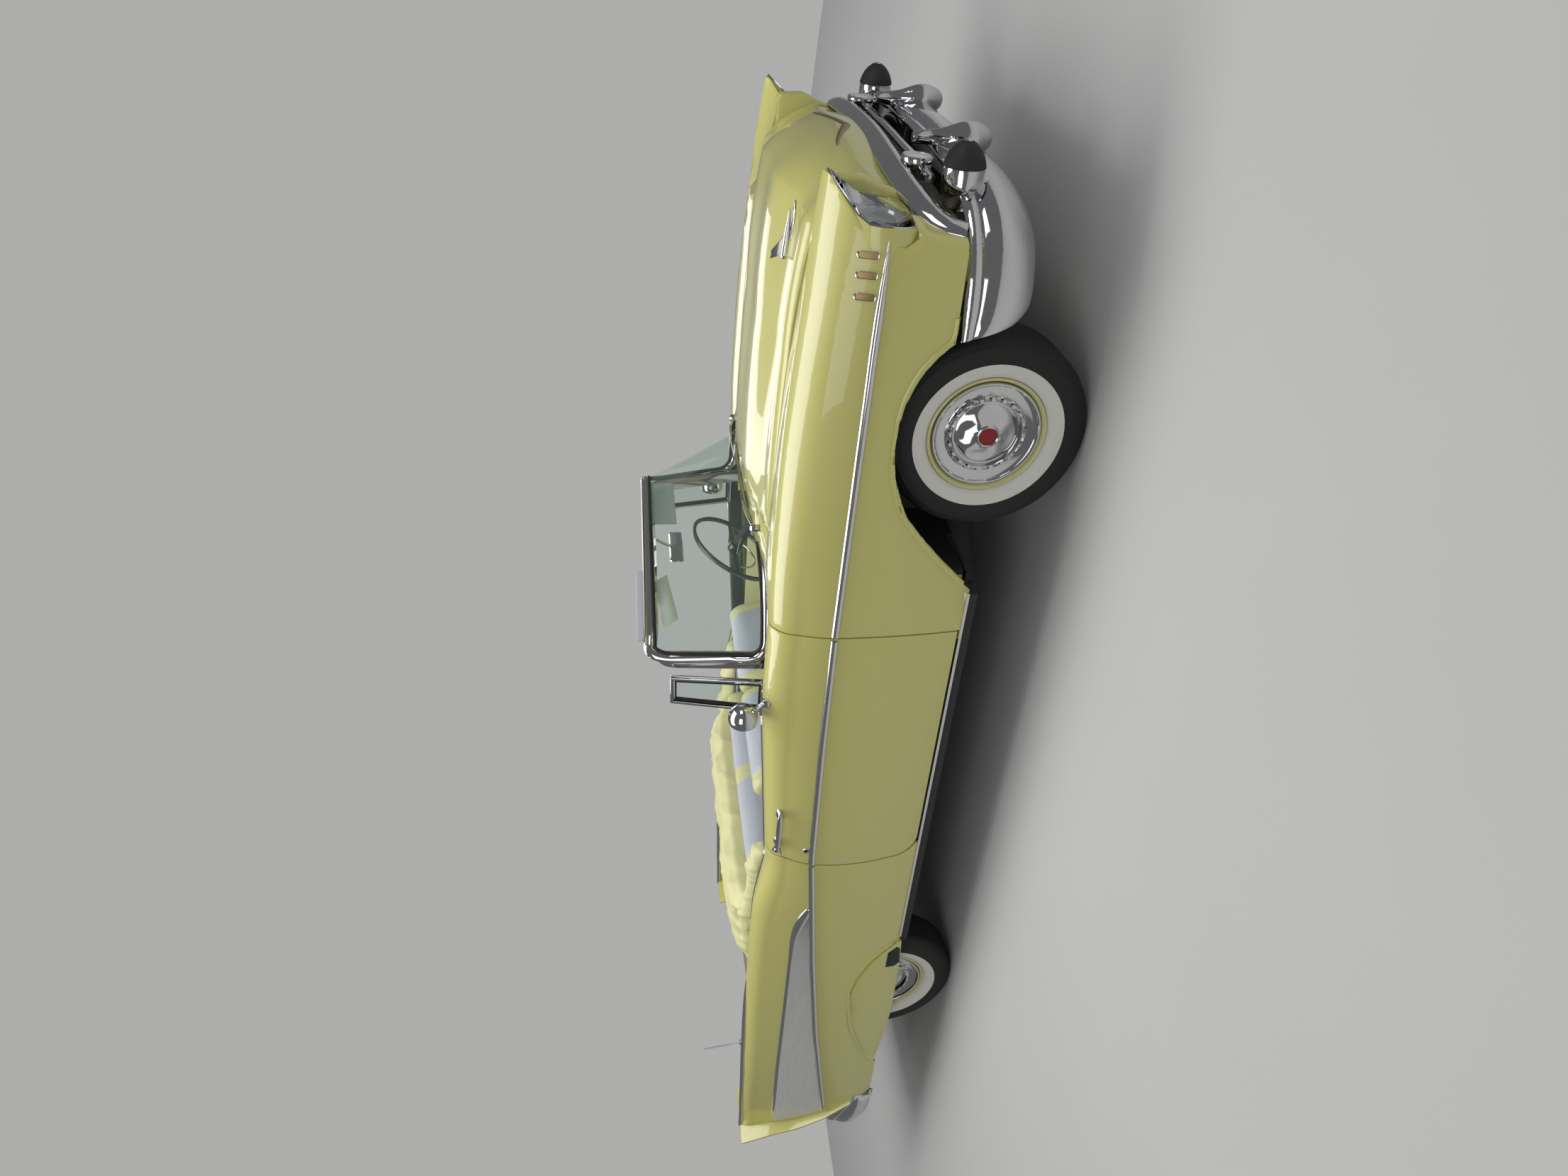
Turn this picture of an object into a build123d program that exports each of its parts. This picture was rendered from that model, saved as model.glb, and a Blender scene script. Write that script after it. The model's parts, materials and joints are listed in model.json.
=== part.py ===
from build123d import *
import math
import os

os.makedirs("parts", exist_ok=True)

# A 1950s two-door convertible with its top down, at full size, in millimetres.
# +X is forward, +Y is the car's left, +Z is up. The origin is on the ground, midway along the car.

# Driving dimensions
LENGTH = 5080.0
WHEELBASE = 2921.0
FRONT_OVERHANG = 858.0
FRONT_TRACK = 1473.0
REAR_TRACK = 1494.0
TYRE_RADIUS = 335.0
TYRE_WIDTH = 192.0
RIM_RADIUS = 196.0
SILL_Z = 325.0
SILL_Y = -903.0
SKIRT_Z = 298.0
SHEET = 12.0
PANEL_GAP = 6.0
DOOR_LENGTH = 1170.0
DOOR_BEHIND_AXLE = 727.0
DOOR_INNER_Y = -838.0
HOOD_HALF_WIDTH = 597.0
HOOD_REAR_BEHIND_AXLE = 500.0
TRUNK_HALF_WIDTH = 625.0
TRUNK_FRONT_BEHIND_AXLE = 120.0
FLOOR_Z = 312.0
KINGPIN_INSET = 86.5
PLATE_BOLTS = 177.8
TRIM_PROUD = 8.0
TRIM_TALL = 25.0
DRUM_WIDE = 26.5
COLUMN_TILT = 28.0
STEERING_WHEEL_RADIUS = 214.0
GLASS = 6.0
RUNNING_GAP = 0.3

# Places that follow from them
X_NOSE = LENGTH / 2
X_TAIL = -LENGTH / 2
X_FRONT_AXLE = X_NOSE - FRONT_OVERHANG
X_REAR_AXLE = X_FRONT_AXLE - WHEELBASE
AXLE_Z = TYRE_RADIUS
STEER_AXIS_Y = FRONT_TRACK / 2 - KINGPIN_INSET
X_DOOR_FRONT = X_FRONT_AXLE - DOOR_BEHIND_AXLE
X_DOOR_REAR = X_DOOR_FRONT - DOOR_LENGTH
X_HOOD_REAR = X_FRONT_AXLE - HOOD_REAR_BEHIND_AXLE
X_TRUNK_FRONT = X_REAR_AXLE - TRUNK_FRONT_BEHIND_AXLE
Y_DRIVER = 370.0


def moved_box(x0, x1, y0, y1, z0, z1):
    """A block between two corners."""
    return Pos((x0 + x1) / 2, (y0 + y1) / 2, (z0 + z1) / 2) * Box(x1 - x0, y1 - y0, z1 - z0)


def rod(start, end, radius):
    """A round bar between two points."""
    a, b = Vector(*start), Vector(*end)
    along = b - a
    return Plane(origin=(a + b) * 0.5, z_dir=along) * Cylinder(radius, along.length)


def left_of(shape):
    """The mirror image of a right-hand piece, on the car's left."""
    return mirror(shape, about=Plane.XZ)


def both_sides(shape):
    """A right-hand piece with its mirror image, in one node."""
    return Compound(children=[*shape.solids(), *left_of(shape).solids()])


def save(name, shape):
    export_step(shape, f"parts/{name}.step")


def side_prism(points, y0, y1):
    """An outline drawn in the side view, as (x, z) points, taken across from y0 to y1."""
    face = Face(Wire.make_polygon([Vector(x, y0, z) for x, z in points], close=True))
    return Solid.extrude(face, Vector(0, y1 - y0, 0))


def plan_prism(points, z0, z1):
    """An outline drawn from above, as (x, y) points, taken up from z0 to z1."""
    face = Face(Wire.make_polygon([Vector(x, y, z0) for x, y in points], close=True))
    return Solid.extrude(face, Vector(0, 0, z1 - z0))


def rect_wire(x, y, z, wide, high):
    """An upright rectangle across the car, with its middle at x, y, z."""
    w, h = wide / 2, high / 2
    corners = [(y - w, z - h), (y + w, z - h), (y + w, z + h), (y - w, z + h)]
    return Wire.make_polygon([Vector(x, a, b) for a, b in corners], close=True)


def dome(radius, high):
    """A cap of a ball on a flat round base, domed along +Z."""
    ball = (radius ** 2 + high ** 2) / (2 * high)
    turn = (math.atan2(ball - high, radius) + math.pi / 2) / 2
    between = Vector(ball * math.cos(turn), 0, high - ball + ball * math.sin(turn))
    foot, edge, top = Vector(0, 0, 0), Vector(radius, 0, 0), Vector(0, 0, high)
    arc = Edge.make_three_point_arc(edge, between, top)
    return revolve(Face(Wire([arc, Edge.make_line(top, foot), Edge.make_line(foot, edge)])), Axis.Z)


def rail(stations, wide, high):
    """A box-section rail through (x, y, z) stations."""
    return Solid.make_loft([rect_wire(x, y, z, wide, high) for x, y, z in stations], True)


def arc_edge(a, b, sag, plane_normal):
    """An arc from a to b that bulges by sag to the left of a to b, seen against plane_normal."""
    a, b = Vector(*a), Vector(*b)
    if abs(sag) < 0.01:
        return Edge.make_line(a, b)
    side = plane_normal.cross((b - a).normalized())
    return Edge.make_three_point_arc(a, (a + b) * 0.5 + side * sag, b)


ACROSS = Vector(1, 0, 0)


# Body sides. Each row is one upright section of the right-hand side, from the sill up to the crest
# and in to the panel's inner edge. The middle is the crease that carries the side trim.
# Columns: x, middle y and z, shoulder y and z, crest y and z, inner edge y and z, crown of the top.
XF, XR = X_FRONT_AXLE, X_REAR_AXLE
FENDER_ROWS = [
    (XF - 760, -930, 787, -906, 910, -850, 1000, -790, 1003, 6),
    (XF - 500, -930, 785, -906, 912, -838, 1004, -604, 995, 14),
    (XF - 150, -930, 777, -904, 908, -815, 1000, -604, 983, 8),
    (XF + 150, -928, 772, -900, 898, -795, 984, -604, 966, 2),
    (XF + 420, -918, 763, -888, 880, -768, 962, -604, 938, -4),
    (XF + 620, -905, 754, -872, 860, -745, 944, -604, 905, -8),
    (XF + 790, -890, 748, -850, 835, -728, 922, -610, 860, -8),
]
DOOR_ROWS = [
    (X_DOOR_FRONT + 40, -930, 787, -906, 910, -850, 1000, -790, 1003, 6),
    (X_DOOR_FRONT - 0.25 * DOOR_LENGTH, -930, 788, -907, 912, -850, 1006, -790, 1006, 6),
    (X_DOOR_FRONT - 0.60 * DOOR_LENGTH, -930, 787, -907, 905, -850, 985, -790, 986, 6),
    (X_DOOR_FRONT - 0.90 * DOOR_LENGTH, -930, 781, -907, 890, -850, 962, -790, 964, 6),
    (X_DOOR_REAR - 60, -930, 774, -907, 882, -852, 952, -790, 954, 6),
]
QUARTER_ROWS = [
    (X_DOOR_REAR + 60, -930, 781, -907, 890, -852, 957, -790, 959, 6),
    (X_DOOR_REAR - 60, -930, 774, -907, 882, -853, 952, -790, 954, 6),
    (X_DOOR_REAR - 180, -930, 764, -906, 890, -853, 968, -790, 966, 6),
    (X_DOOR_REAR - 330, -930, 748, -905, 915, -852, 996, -780, 982, 4),
    (X_DOOR_REAR - 560, -930, 727, -903, 930, -850, 1007, -770, 984, 0),
    (XR + 110, -930, 696, -900, 935, -846, 1007, -740, 962, -8),
    (XR - 300, -928, 656, -893, 930, -840, 1002, -634, 932, -26),
    (XR - 600, -920, 626, -884, 927, -835, 997, -634, 911, -30),
    (XR - 900, -903, 593, -866, 922, -826, 990, -634, 882, -36),
    (XR - 1240, -880, 548, -848, 915, -815, 981, -634, 842, -40),
]


def smooth_rows(rows, count):
    """The table's rows resampled to an even count, on curves that don't overshoot the given rows."""
    xs = [row[0] for row in rows]
    slopes = []
    for k in range(len(rows)):
        if k in (0, len(rows) - 1):
            a, b = (0, 1) if k == 0 else (k - 1, k)
            slopes.append([(q - p) / (xs[b] - xs[a]) for p, q in zip(rows[a], rows[b])])
            continue
        h0, h1 = xs[k] - xs[k - 1], xs[k + 1] - xs[k]
        slope = []
        for p, q, r in zip(rows[k - 1], rows[k], rows[k + 1]):
            d0, d1 = (q - p) / h0, (r - q) / h1
            slope.append(0.0 if d0 * d1 <= 0 else 2 * d0 * d1 / (d0 + d1))
        slopes.append(slope)
    out = []
    for n in range(count):
        t = n * (len(rows) - 1) / (count - 1)
        k = min(int(t), len(rows) - 2)
        t, h = t - k, xs[k + 1] - xs[k]
        c0, c1 = 1 - 3 * t * t + 2 * t ** 3, 3 * t * t - 2 * t ** 3
        c2, c3 = t - 2 * t * t + t ** 3, t ** 3 - t * t
        out.append(tuple(
            c0 * p + c1 * q + h * (c2 * u + c3 * v)
            for p, q, u, v in zip(rows[k], rows[k + 1], slopes[k], slopes[k + 1])))
    return out


def side_wire(row, wall, sill_z=SILL_Z, grow=0.0):
    """One closed section: the outer skin's arcs, and the same skin moved in by the wall."""
    x, y1, z1, y2, z2, y3, z3, y4, z4, crown = row
    outer = [(SILL_Y, sill_z), (y1, z1), (y2, z2), (y3, z3), (y4, z4)]
    sags = [9, 4, 13, crown]
    normals = []
    for i, (y, z) in enumerate(outer):
        before = outer[max(i - 1, 0)]
        after = outer[min(i + 1, 4)]
        dy, dz = after[0] - before[0], after[1] - before[1]
        size = math.hypot(dy, dz)
        normals.append((dz / size, -dy / size))
    skin = [(x, y - n[0] * grow, z - n[1] * grow) for (y, z), n in zip(outer, normals)]
    inner = [(x, y + n[0] * wall, z + n[1] * wall) for (y, z), n in zip(outer, normals)]
    edges = [arc_edge(skin[i], skin[i + 1], sags[i], ACROSS) for i in range(4)]
    edges.append(Edge.make_line(Vector(*skin[4]), Vector(*inner[4])))
    edges += [arc_edge(inner[i + 1], inner[i], -sags[i], ACROSS) for i in (3, 2, 1, 0)]
    edges.append(Edge.make_line(Vector(*inner[0]), Vector(*skin[0])))
    return Wire(edges)


def side_skin(rows, wall=SHEET, sill_z=SILL_Z, grow=0.0):
    rows = smooth_rows(rows, 2 * len(rows) - 1)
    return Solid.make_loft([side_wire(row, wall, sill_z, grow) for row in rows])


def arch_face(points, drop_z):
    """A wheel opening in the side view: arcs through (x, z) points, closed below at drop_z."""
    p = [Vector(x, 0, z) for x, z in points]
    edges = [Edge.make_three_point_arc(p[i], p[i + 1], p[i + 2]) for i in range(0, len(p) - 2, 2)]
    first, last = p[0], p[-1]
    low_first, low_last = Vector(first.X, 0, drop_z), Vector(last.X, 0, drop_z)
    edges += [Edge.make_line(last, low_last), Edge.make_line(low_last, low_first)]
    edges.append(Edge.make_line(low_first, first))
    return Face(Wire(edges))


def arch_cut(points, drop_z, y0=-1100.0, y1=-700.0):
    face = Pos(0, y0, 0) * arch_face(points, drop_z)
    return Solid.extrude(face, Vector(0, y1 - y0, 0))


# The front opening sweeps back to the sill; its front edge stops at the bumper.
FENDER_ARCH = [
    (XF - 578, 290), (XF - 402, 470), (XF - 245, 600),
    (XF - 92, 655), (XF + 72, 663), (XF + 235, 630), (XF + 363, 520),
]
BUMPER_TOP_Z = 524.0
# The fender's front edge leans forward to the brow over the lamp.
BROW = [(XF + 610, 400), (XF + 618, 690), (XF + 630, 800), (XF + 776, 910), (XF + 790, 980)]
DOOR_CORNER_R = 110.0


def door_outline(grow):
    """The door's outline in the side view, with the rear seam's curve and its lower corner."""
    front, rear = X_DOOR_FRONT + grow, X_DOOR_REAR - grow
    low, r = SILL_Z + 14 - grow, DOOR_CORNER_R
    top = 1100.0
    a, b = Vector(front, 0, low), Vector(front, 0, top)
    c, d = Vector(rear + 26, 0, top), Vector(rear + 22, 0, 900)
    e = Vector(rear - 20, 0, 620)
    f, g = Vector(rear - 2, 0, low + r), Vector(rear + r, 0, low)
    corner = Vector(rear + 0.26 * r, 0, low + 0.30 * r)
    edges = [Edge.make_line(a, b), Edge.make_line(b, c), Edge.make_line(c, d)]
    edges += [Edge.make_three_point_arc(d, e, f), Edge.make_three_point_arc(f, corner, g)]
    edges.append(Edge.make_line(g, a))
    return Face(Wire(edges))


def door_cutter(grow, y0=-1100.0, y1=-600.0):
    return Solid.extrude(Pos(0, y0, 0) * door_outline(grow), Vector(0, y1 - y0, 0))


# The return from the fender's edge in to the mouth, under the lamp.
# Columns: y, then x and z of its upper edge and of its lower edge.
NOSE_RETURN = [
    (-606, XF + 710, 765, XF + 696, 690), (-660, XF + 690, 742, XF + 684, 680),
    (-720, XF + 663, 668, XF + 664, 640), (-770, XF + 648, 636, XF + 654, 600),
    (-820, XF + 630, 636, XF + 643, 560), (-860, XF + 620, 650, XF + 626, 530),
    (-898, XF + 612, 660, XF + 616, 527),
]


def make_fender():
    """Front fender skin with its wheel opening, and the return beside the hood's front."""
    skin = side_skin(FENDER_ROWS)
    skin -= arch_cut(FENDER_ARCH, 200)
    skin -= moved_box(XF + 300, X_NOSE + 60, -1100, -500, 200, BUMPER_TOP_Z)
    ahead = BROW + [(X_NOSE + 100, 980), (X_NOSE + 100, 400)]
    skin -= side_prism(ahead, -1100, -500)
    skin -= door_cutter(PANEL_GAP)
    skin -= moved_box(XF - 800, X_NOSE, -HOOD_HALF_WIDTH - 6, 0, 700, 1100)
    nose = side_prism(
        [(XF + 560, 692), (XF + 702, 692), (XF + 716, 736), (XF + 742, 790), (XF + 726, 838), (XF + 640, 890),
         (XF + 560, 900)], -646, -604)
    plate = moved_box(XF + 594, XF + 602, -900, -606, 640, 896) - skin
    wires = []
    for y, x_top, z_top, x_low, z_low in NOSE_RETURN:
        corners = [(x_top, z_top), (x_low, z_low), (x_low - 8, z_low), (x_top - 8, z_top)]
        wires.append(Wire.make_polygon([Vector(x, y, z) for x, z in corners], close=True))
    under_lamp = Solid.make_loft(wires, True)
    return skin + nose + plate.solids().sort_by(SortBy.VOLUME)[-1] + under_lamp


def make_door():
    """A door as one thick piece: the outer skin's shape outside, a flat trim side inside."""
    sections = []
    for row in smooth_rows(DOOR_ROWS, 2 * len(DOOR_ROWS) - 1):
        x, y1, z1, y2, z2, y3, z3, y4, z4, crown = row
        outer = [(x, SILL_Y, SILL_Z), (x, y1, z1), (x, y2, z2), (x, y3, z3), (x, y4, z4)]
        sags = [9, 4, 13, crown]
        edges = [arc_edge(outer[i], outer[i + 1], sags[i], ACROSS) for i in range(4)]
        inside = [(x, y4, z4), (x, y4, z4 - 60), (x, DOOR_INNER_Y, z4 - 100), (x, DOOR_INNER_Y, SILL_Z)]
        inside.append((x, SILL_Y, SILL_Z))
        edges += [Edge.make_line(Vector(*p), Vector(*q)) for p, q in zip(inside, inside[1:])]
        sections.append(Wire(edges))
    solid = Solid.make_loft(sections)
    return solid & door_cutter(0)


SKIRT_ARCH = [(XR - 560, 330), (XR - 345, 460), (XR - 40, 522), (XR + 240, 470), (XR + 428, 325)]
TAIL_EDGE = [
    (X_TAIL + 66, 1100), (X_TAIL + 66, 985), (X_TAIL + 132, 816), (X_TAIL + 168, 690),
    (X_TAIL + 245, 560), (X_TAIL + 375, 425), (X_TAIL + 500, 300),
]


def make_quarter():
    """Rear fender with its fin, the opening for the skirt, and the slanted tail."""
    skin = side_skin(QUARTER_ROWS)
    skin -= arch_cut(SKIRT_ARCH, 200)
    behind = TAIL_EDGE + [(X_TAIL - 100, 300), (X_TAIL - 100, 1100)]
    skin -= side_prism(behind, -1100, -400)
    skin -= door_cutter(PANEL_GAP)
    run = TAIL_EDGE[1:6]
    strip = [(x + 12, z) for x, z in run] + [(x + 24, z) for x, z in reversed(run)]
    plate = side_prism(strip, -930, -TRUNK_HALF_WIDTH - 8) - skin
    plate = plate.solids().filter_by(lambda part: part.center().Y > -860).sort_by(SortBy.VOLUME)[-1]
    return skin + plate


def make_skirt():
    """The panel that closes the rear wheel opening, a little proud of the fender."""
    rows = [row for row in QUARTER_ROWS if XR - 800 < row[0] < X_DOOR_REAR - 300]
    skin = side_skin(rows, sill_z=SKIRT_Z - 30, grow=3.0)
    inside = [(x, z - RUNNING_GAP) for x, z in SKIRT_ARCH]
    skin &= arch_cut(inside, SKIRT_Z - 60)
    low = [(XR - 640, 200), (XR + 500, 200), (XR + 500, SKIRT_Z + 22), (XR + 220, SKIRT_Z + 6),
           (XR - 110, SKIRT_Z), (XR - 400, SKIRT_Z + 24), (XR - 640, SKIRT_Z + 60)]
    return skin - side_prism(low, -1100, -500)


# The trim's middle line along the car, and the upper edge of the ribbed plate over it, in x and z.
SPEAR = [
    (XR - 1010, 556), (XR - 219, 666), (XR + 350, 724), (X_DOOR_REAR + 17, 780), (XF - 1251, 788),
    (XF - 714, 787), (XF - 45, 775), (XF + 325, 766), (XF + 591, 754), (XF + 640, 752),
]
PLATE_TOP = [
    (XR - 1128, 813), (XR - 528, 826), (XR + 71, 823), (XR + 497, 820), (XR + 596, 806),
    (XR + 679, 780), (XR + 735, 757),
]


def ribbon(points, tall):
    """The side view of a strip along (x, z) points, run from side to side of the car's right half."""
    half = tall / 2
    outline = [(x, z + half) for x, z in points] + [(x, z - half) for x, z in reversed(points)]
    return side_prism(outline, -1100, -700)


def trim_on(rows, outline, proud):
    """A layer that stands proud of a panel, just clear of it, inside an outline."""
    return side_skin(rows, wall=-RUNNING_GAP, grow=proud) & outline


def make_front_spear():
    spear = trim_on(FENDER_ROWS, ribbon(SPEAR, TRIM_TALL), TRIM_PROUD)
    return spear & moved_box(X_DOOR_FRONT + 10, XF + 640, -1100, -700, 600, 900)


def make_door_spear():
    spear = trim_on(DOOR_ROWS, ribbon(SPEAR, TRIM_TALL), TRIM_PROUD) & door_cutter(-4)
    return spear & moved_box(X_DOOR_REAR - 100, X_DOOR_FRONT - 4, -1100, -700, 600, 900)


def make_rear_trim():
    """The spear's tail, with the plate above it and the plate's raised edge."""
    edge = ribbon(SPEAR[:4] + [(X_DOOR_REAR + 60, 782)], TRIM_TALL) + ribbon(PLATE_TOP, 0.8 * TRIM_TALL)
    plate = side_prism(PLATE_TOP + list(reversed(SPEAR[:3])), -1100, -700) - edge
    behind = [(x + 6, z) for x, z in TAIL_EDGE] + [(X_TAIL - 100, 300), (X_TAIL - 100, 1100)]
    away = side_prism(behind, -1100, -400)
    edge = trim_on(QUARTER_ROWS, edge - away - door_cutter(PANEL_GAP), TRIM_PROUD)
    plate = trim_on(QUARTER_ROWS, plate - away, 0.5 * TRIM_PROUD)
    return Compound(children=[*edge.solids(), *plate.solids()])


def profile_wire(y, outline, wall):
    """A sheet's side profile at one y: (x, z, sag) points on top, and the same moved down by the wall."""
    points = [(x, z) for x, z, _ in outline]
    normals = []
    for i in range(len(points)):
        before, after = points[max(i - 1, 0)], points[min(i + 1, len(points) - 1)]
        dx, dz = after[0] - before[0], after[1] - before[1]
        size = math.hypot(dx, dz)
        normals.append((dz / size, -dx / size))
    top = [(x, y, z) for x, z in points]
    low = [(x + n[0] * wall, y, z + n[1] * wall) for (x, z), n in zip(points, normals)]
    sags = [s for _, _, s in outline[:-1]]
    last = len(points) - 1
    turn = Vector(0, -1, 0)
    edges = [arc_edge(top[i], top[i + 1], sags[i], turn) for i in range(last)]
    edges.append(Edge.make_line(Vector(*top[last]), Vector(*low[last])))
    edges += [arc_edge(low[i + 1], low[i], -sags[i], turn) for i in range(last - 1, -1, -1)]
    edges.append(Edge.make_line(Vector(*low[0]), Vector(*top[0])))
    return Wire(edges)


# Hood: side profiles from the middle out. Columns: y, then heights of the rear edge, the middle,
# the front roll and the lip, and how far the roll and lip stand ahead of the front axle.
HOOD_ROWS = [
    (0, 1046, 1022, 952, 790, 690, 752),
    (250, 1040, 1016, 946, 778, 686, 744),
    (373, 1024, 982, 906, 760, 680, 732),
    (480, 1010, 974, 896, 746, 668, 724),
    (HOOD_HALF_WIDTH, 992, 966, 880, 728, 648, 716),
]


def hood_profile(row):
    y, z_rear, z_mid, z_roll, z_lip, x_roll, x_lip = row
    return [
        (X_HOOD_REAR, z_rear, 6),
        (XF + 150, z_mid, 10),
        (XF + x_roll - 60, z_roll + 30, 22),
        (XF + x_lip, z_lip, 0),
    ]


def make_hood():
    rows = [(-r[0], *r[1:]) for r in reversed(HOOD_ROWS[1:])] + HOOD_ROWS
    return Solid.make_loft([profile_wire(r[0], hood_profile(r), SHEET) for r in rows])


# Trunk lid: side profiles as for the hood. Columns: y, front edge, middle and rear roll heights,
# the height of the lower lip.
TRUNK_ROWS = [
    (0, 968, 932, 858, 560),
    (350, 960, 922, 848, 562),
    (TRUNK_HALF_WIDTH, 936, 898, 826, 566),
]
X_TRUNK_ROLL = X_TAIL + 196.0
X_TRUNK_LIP = X_TAIL + 130.0


def trunk_profile(row):
    y, z_front, z_mid, z_roll, z_lip = row
    return [
        (X_TRUNK_LIP + 12, z_lip, 6),
        (X_TRUNK_LIP, z_roll - 62, 24),
        (X_TRUNK_ROLL, z_roll, 8),
        ((X_TRUNK_ROLL + X_TRUNK_FRONT) / 2, z_mid, 6),
        (X_TRUNK_FRONT, z_front, 0),
    ]


def make_trunk():
    rows = [(-r[0], *r[1:]) for r in reversed(TRUNK_ROWS[1:])] + TRUNK_ROWS
    return Solid.make_loft([profile_wire(r[0], trunk_profile(r), SHEET) for r in rows])


# Chassis
RAIL_WIDE, RAIL_HIGH = 76.0, 104.0
RAIL_STATIONS = [
    (XF + 640, -372, 372), (XF - 150, -372, 372), (XF - 490, -380, 240), (XF - 700, -560, 240),
    (XR + 760, -560, 240), (XR + 620, -470, 240), (XR + 330, -460, 330), (XR + 120, -460, 446),
    (XR - 200, -460, 446), (XR - 450, -460, 400), (X_TAIL + 220, -460, 400),
]
CROSS_MEMBERS = [
    # x, z, half length
    (XF + 600, 372, 372), (XF - 440, 246, 380), (XR + 560, 246, 470), (X_TAIL + 260, 400, 460),
]


def make_frame():
    """Perimeter rails with cross-members and the X that stiffens an open car."""
    right = rail(RAIL_STATIONS, RAIL_WIDE, RAIL_HIGH)
    frame = right + left_of(right)
    for x, z, half in CROSS_MEMBERS:
        frame += moved_box(x - 35, x + 35, -half, half, z - 40, z + 40)
    middle = [(XF - 420, -370), (XF - 1100, -70), (XF - 1300, -70), (XR + 600, -468)]
    cross = rail([(x, y, 246) for x, y in middle], 60, 80)
    frame += cross + left_of(cross)
    frame += moved_box(XF - 1300, XF - 1100, -60, 60, 210, 282)
    return frame


# The floor steps up under the rear seat to clear the rails over the axle.
X_PAN_FRONT = XF - 520
X_STEP = XR + 1040
X_PAN_TOP = XR + 400
STEP_Z, TRUNK_Z = 400.0, 540.0
SHAFT_HALF, SHAFT_TOP = 112.0, 392.0


def make_floor():
    """Floor pan with its tunnel and sills, the seat pan over the axle and the trunk floor."""
    lower = [(X_PAN_FRONT, FLOOR_Z), (X_STEP - 10, FLOOR_Z), (X_STEP - 10, STEP_Z), (X_PAN_TOP, TRUNK_Z - 10)]
    upper = [(X_PAN_TOP, TRUNK_Z), (X_STEP, STEP_Z + 10), (X_STEP, FLOOR_Z + 10), (X_PAN_FRONT, FLOOR_Z + 10)]
    tail = [(X_TAIL + 330, TRUNK_Z - 10), (X_TAIL + 330, TRUNK_Z)]
    pan = side_prism(lower + tail + upper, -597.7, 597.7)
    wide = moved_box(X_STEP - 5, X_PAN_FRONT, -836, 836, FLOOR_Z, FLOOR_Z + 10)
    sill = moved_box(XR + 412, X_DOOR_FRONT + 150, -890.7, -800, 286, SILL_Z + 9)
    sill += moved_box(XR + 412, X_STEP, -810, -580, FLOOR_Z, FLOOR_Z + 10)
    pan += wide + sill + left_of(sill)
    pan -= moved_box(X_STEP - 30, X_PAN_FRONT + 20, -SHAFT_HALF, SHAFT_HALF, FLOOR_Z - 10, SHAFT_TOP)
    hump = moved_box(X_STEP - 5, XF - 995, -SHAFT_HALF - 10, SHAFT_HALF + 10, FLOOR_Z, SHAFT_TOP + 10)
    shaft_way = moved_box(X_STEP - 30, XF - 980, -SHAFT_HALF, SHAFT_HALF, FLOOR_Z - 10, SHAFT_TOP)
    front = moved_box(XF - 1000, X_PAN_FRONT, -SHAFT_HALF - 60, SHAFT_HALF + 60, FLOOR_Z + 5, 442)
    front -= moved_box(XF - 990, X_PAN_FRONT + 20, -SHAFT_HALF - 50, SHAFT_HALF + 50, FLOOR_Z - 5, 432)
    pan -= moved_box(XF - 990, X_PAN_FRONT + 20, -SHAFT_HALF - 50, SHAFT_HALF + 50, FLOOR_Z - 5, 432)
    return pan + (hump + front - shaft_way)


WELL_R = 405.0


def make_wheelhouse():
    """The domed inner panel over a rear wheel."""
    outer = Pos(XR, -745, AXLE_Z) * Rot(90, 0, 0) * Cylinder(WELL_R, 294)
    inner = Pos(XR, -755, AXLE_Z) * Rot(90, 0, 0) * Cylinder(WELL_R - 8, 294)
    shell = outer - inner
    return shell & moved_box(XR - 500, XR + 500, -1000, -500, 420, 900)


def make_apron():
    """The splash apron over a front wheel: an upright wall beside the engine, and a dome."""
    y_wall = -470.0
    outer = Pos(XF, (y_wall - 890) / 2, AXLE_Z) * Rot(90, 0, 0) * Cylinder(450, 890 + y_wall)
    inner = Pos(XF, (y_wall - 890) / 2 - 8, AXLE_Z) * Rot(90, 0, 0) * Cylinder(442, 890 + y_wall)
    dome = (outer - inner) & moved_box(XF - 500, XF + 500, -1000, 0, 620, 900)
    wall = moved_box(XF - 470, XF + 560, y_wall - 8, y_wall, 426, 880)
    wall -= Pos(XF, y_wall, AXLE_Z) * Rot(90, 0, 0) * Cylinder(250, 60)
    foot = moved_box(XF + 150, XF + 400, y_wall - 8, -380, 424.3, 434)
    return wall + dome + foot


# Windshield: a wrapped pane between a low and a high plan curve.
WS_LOW_Z, WS_HIGH_Z = 1002.0, 1412.0
# Columns: x and y of the pillar end, the bend and the centre, at the pane's foot and head.
WS_LOW = [(XF - 960, -728), (XF - 760, -690), (XF - 690, -590), (XF - 560, 0)]
WS_HIGH = [(XF - 990, -668), (XF - 960, -640), (XF - 930, -560), (XF - 888, 0)]


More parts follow.
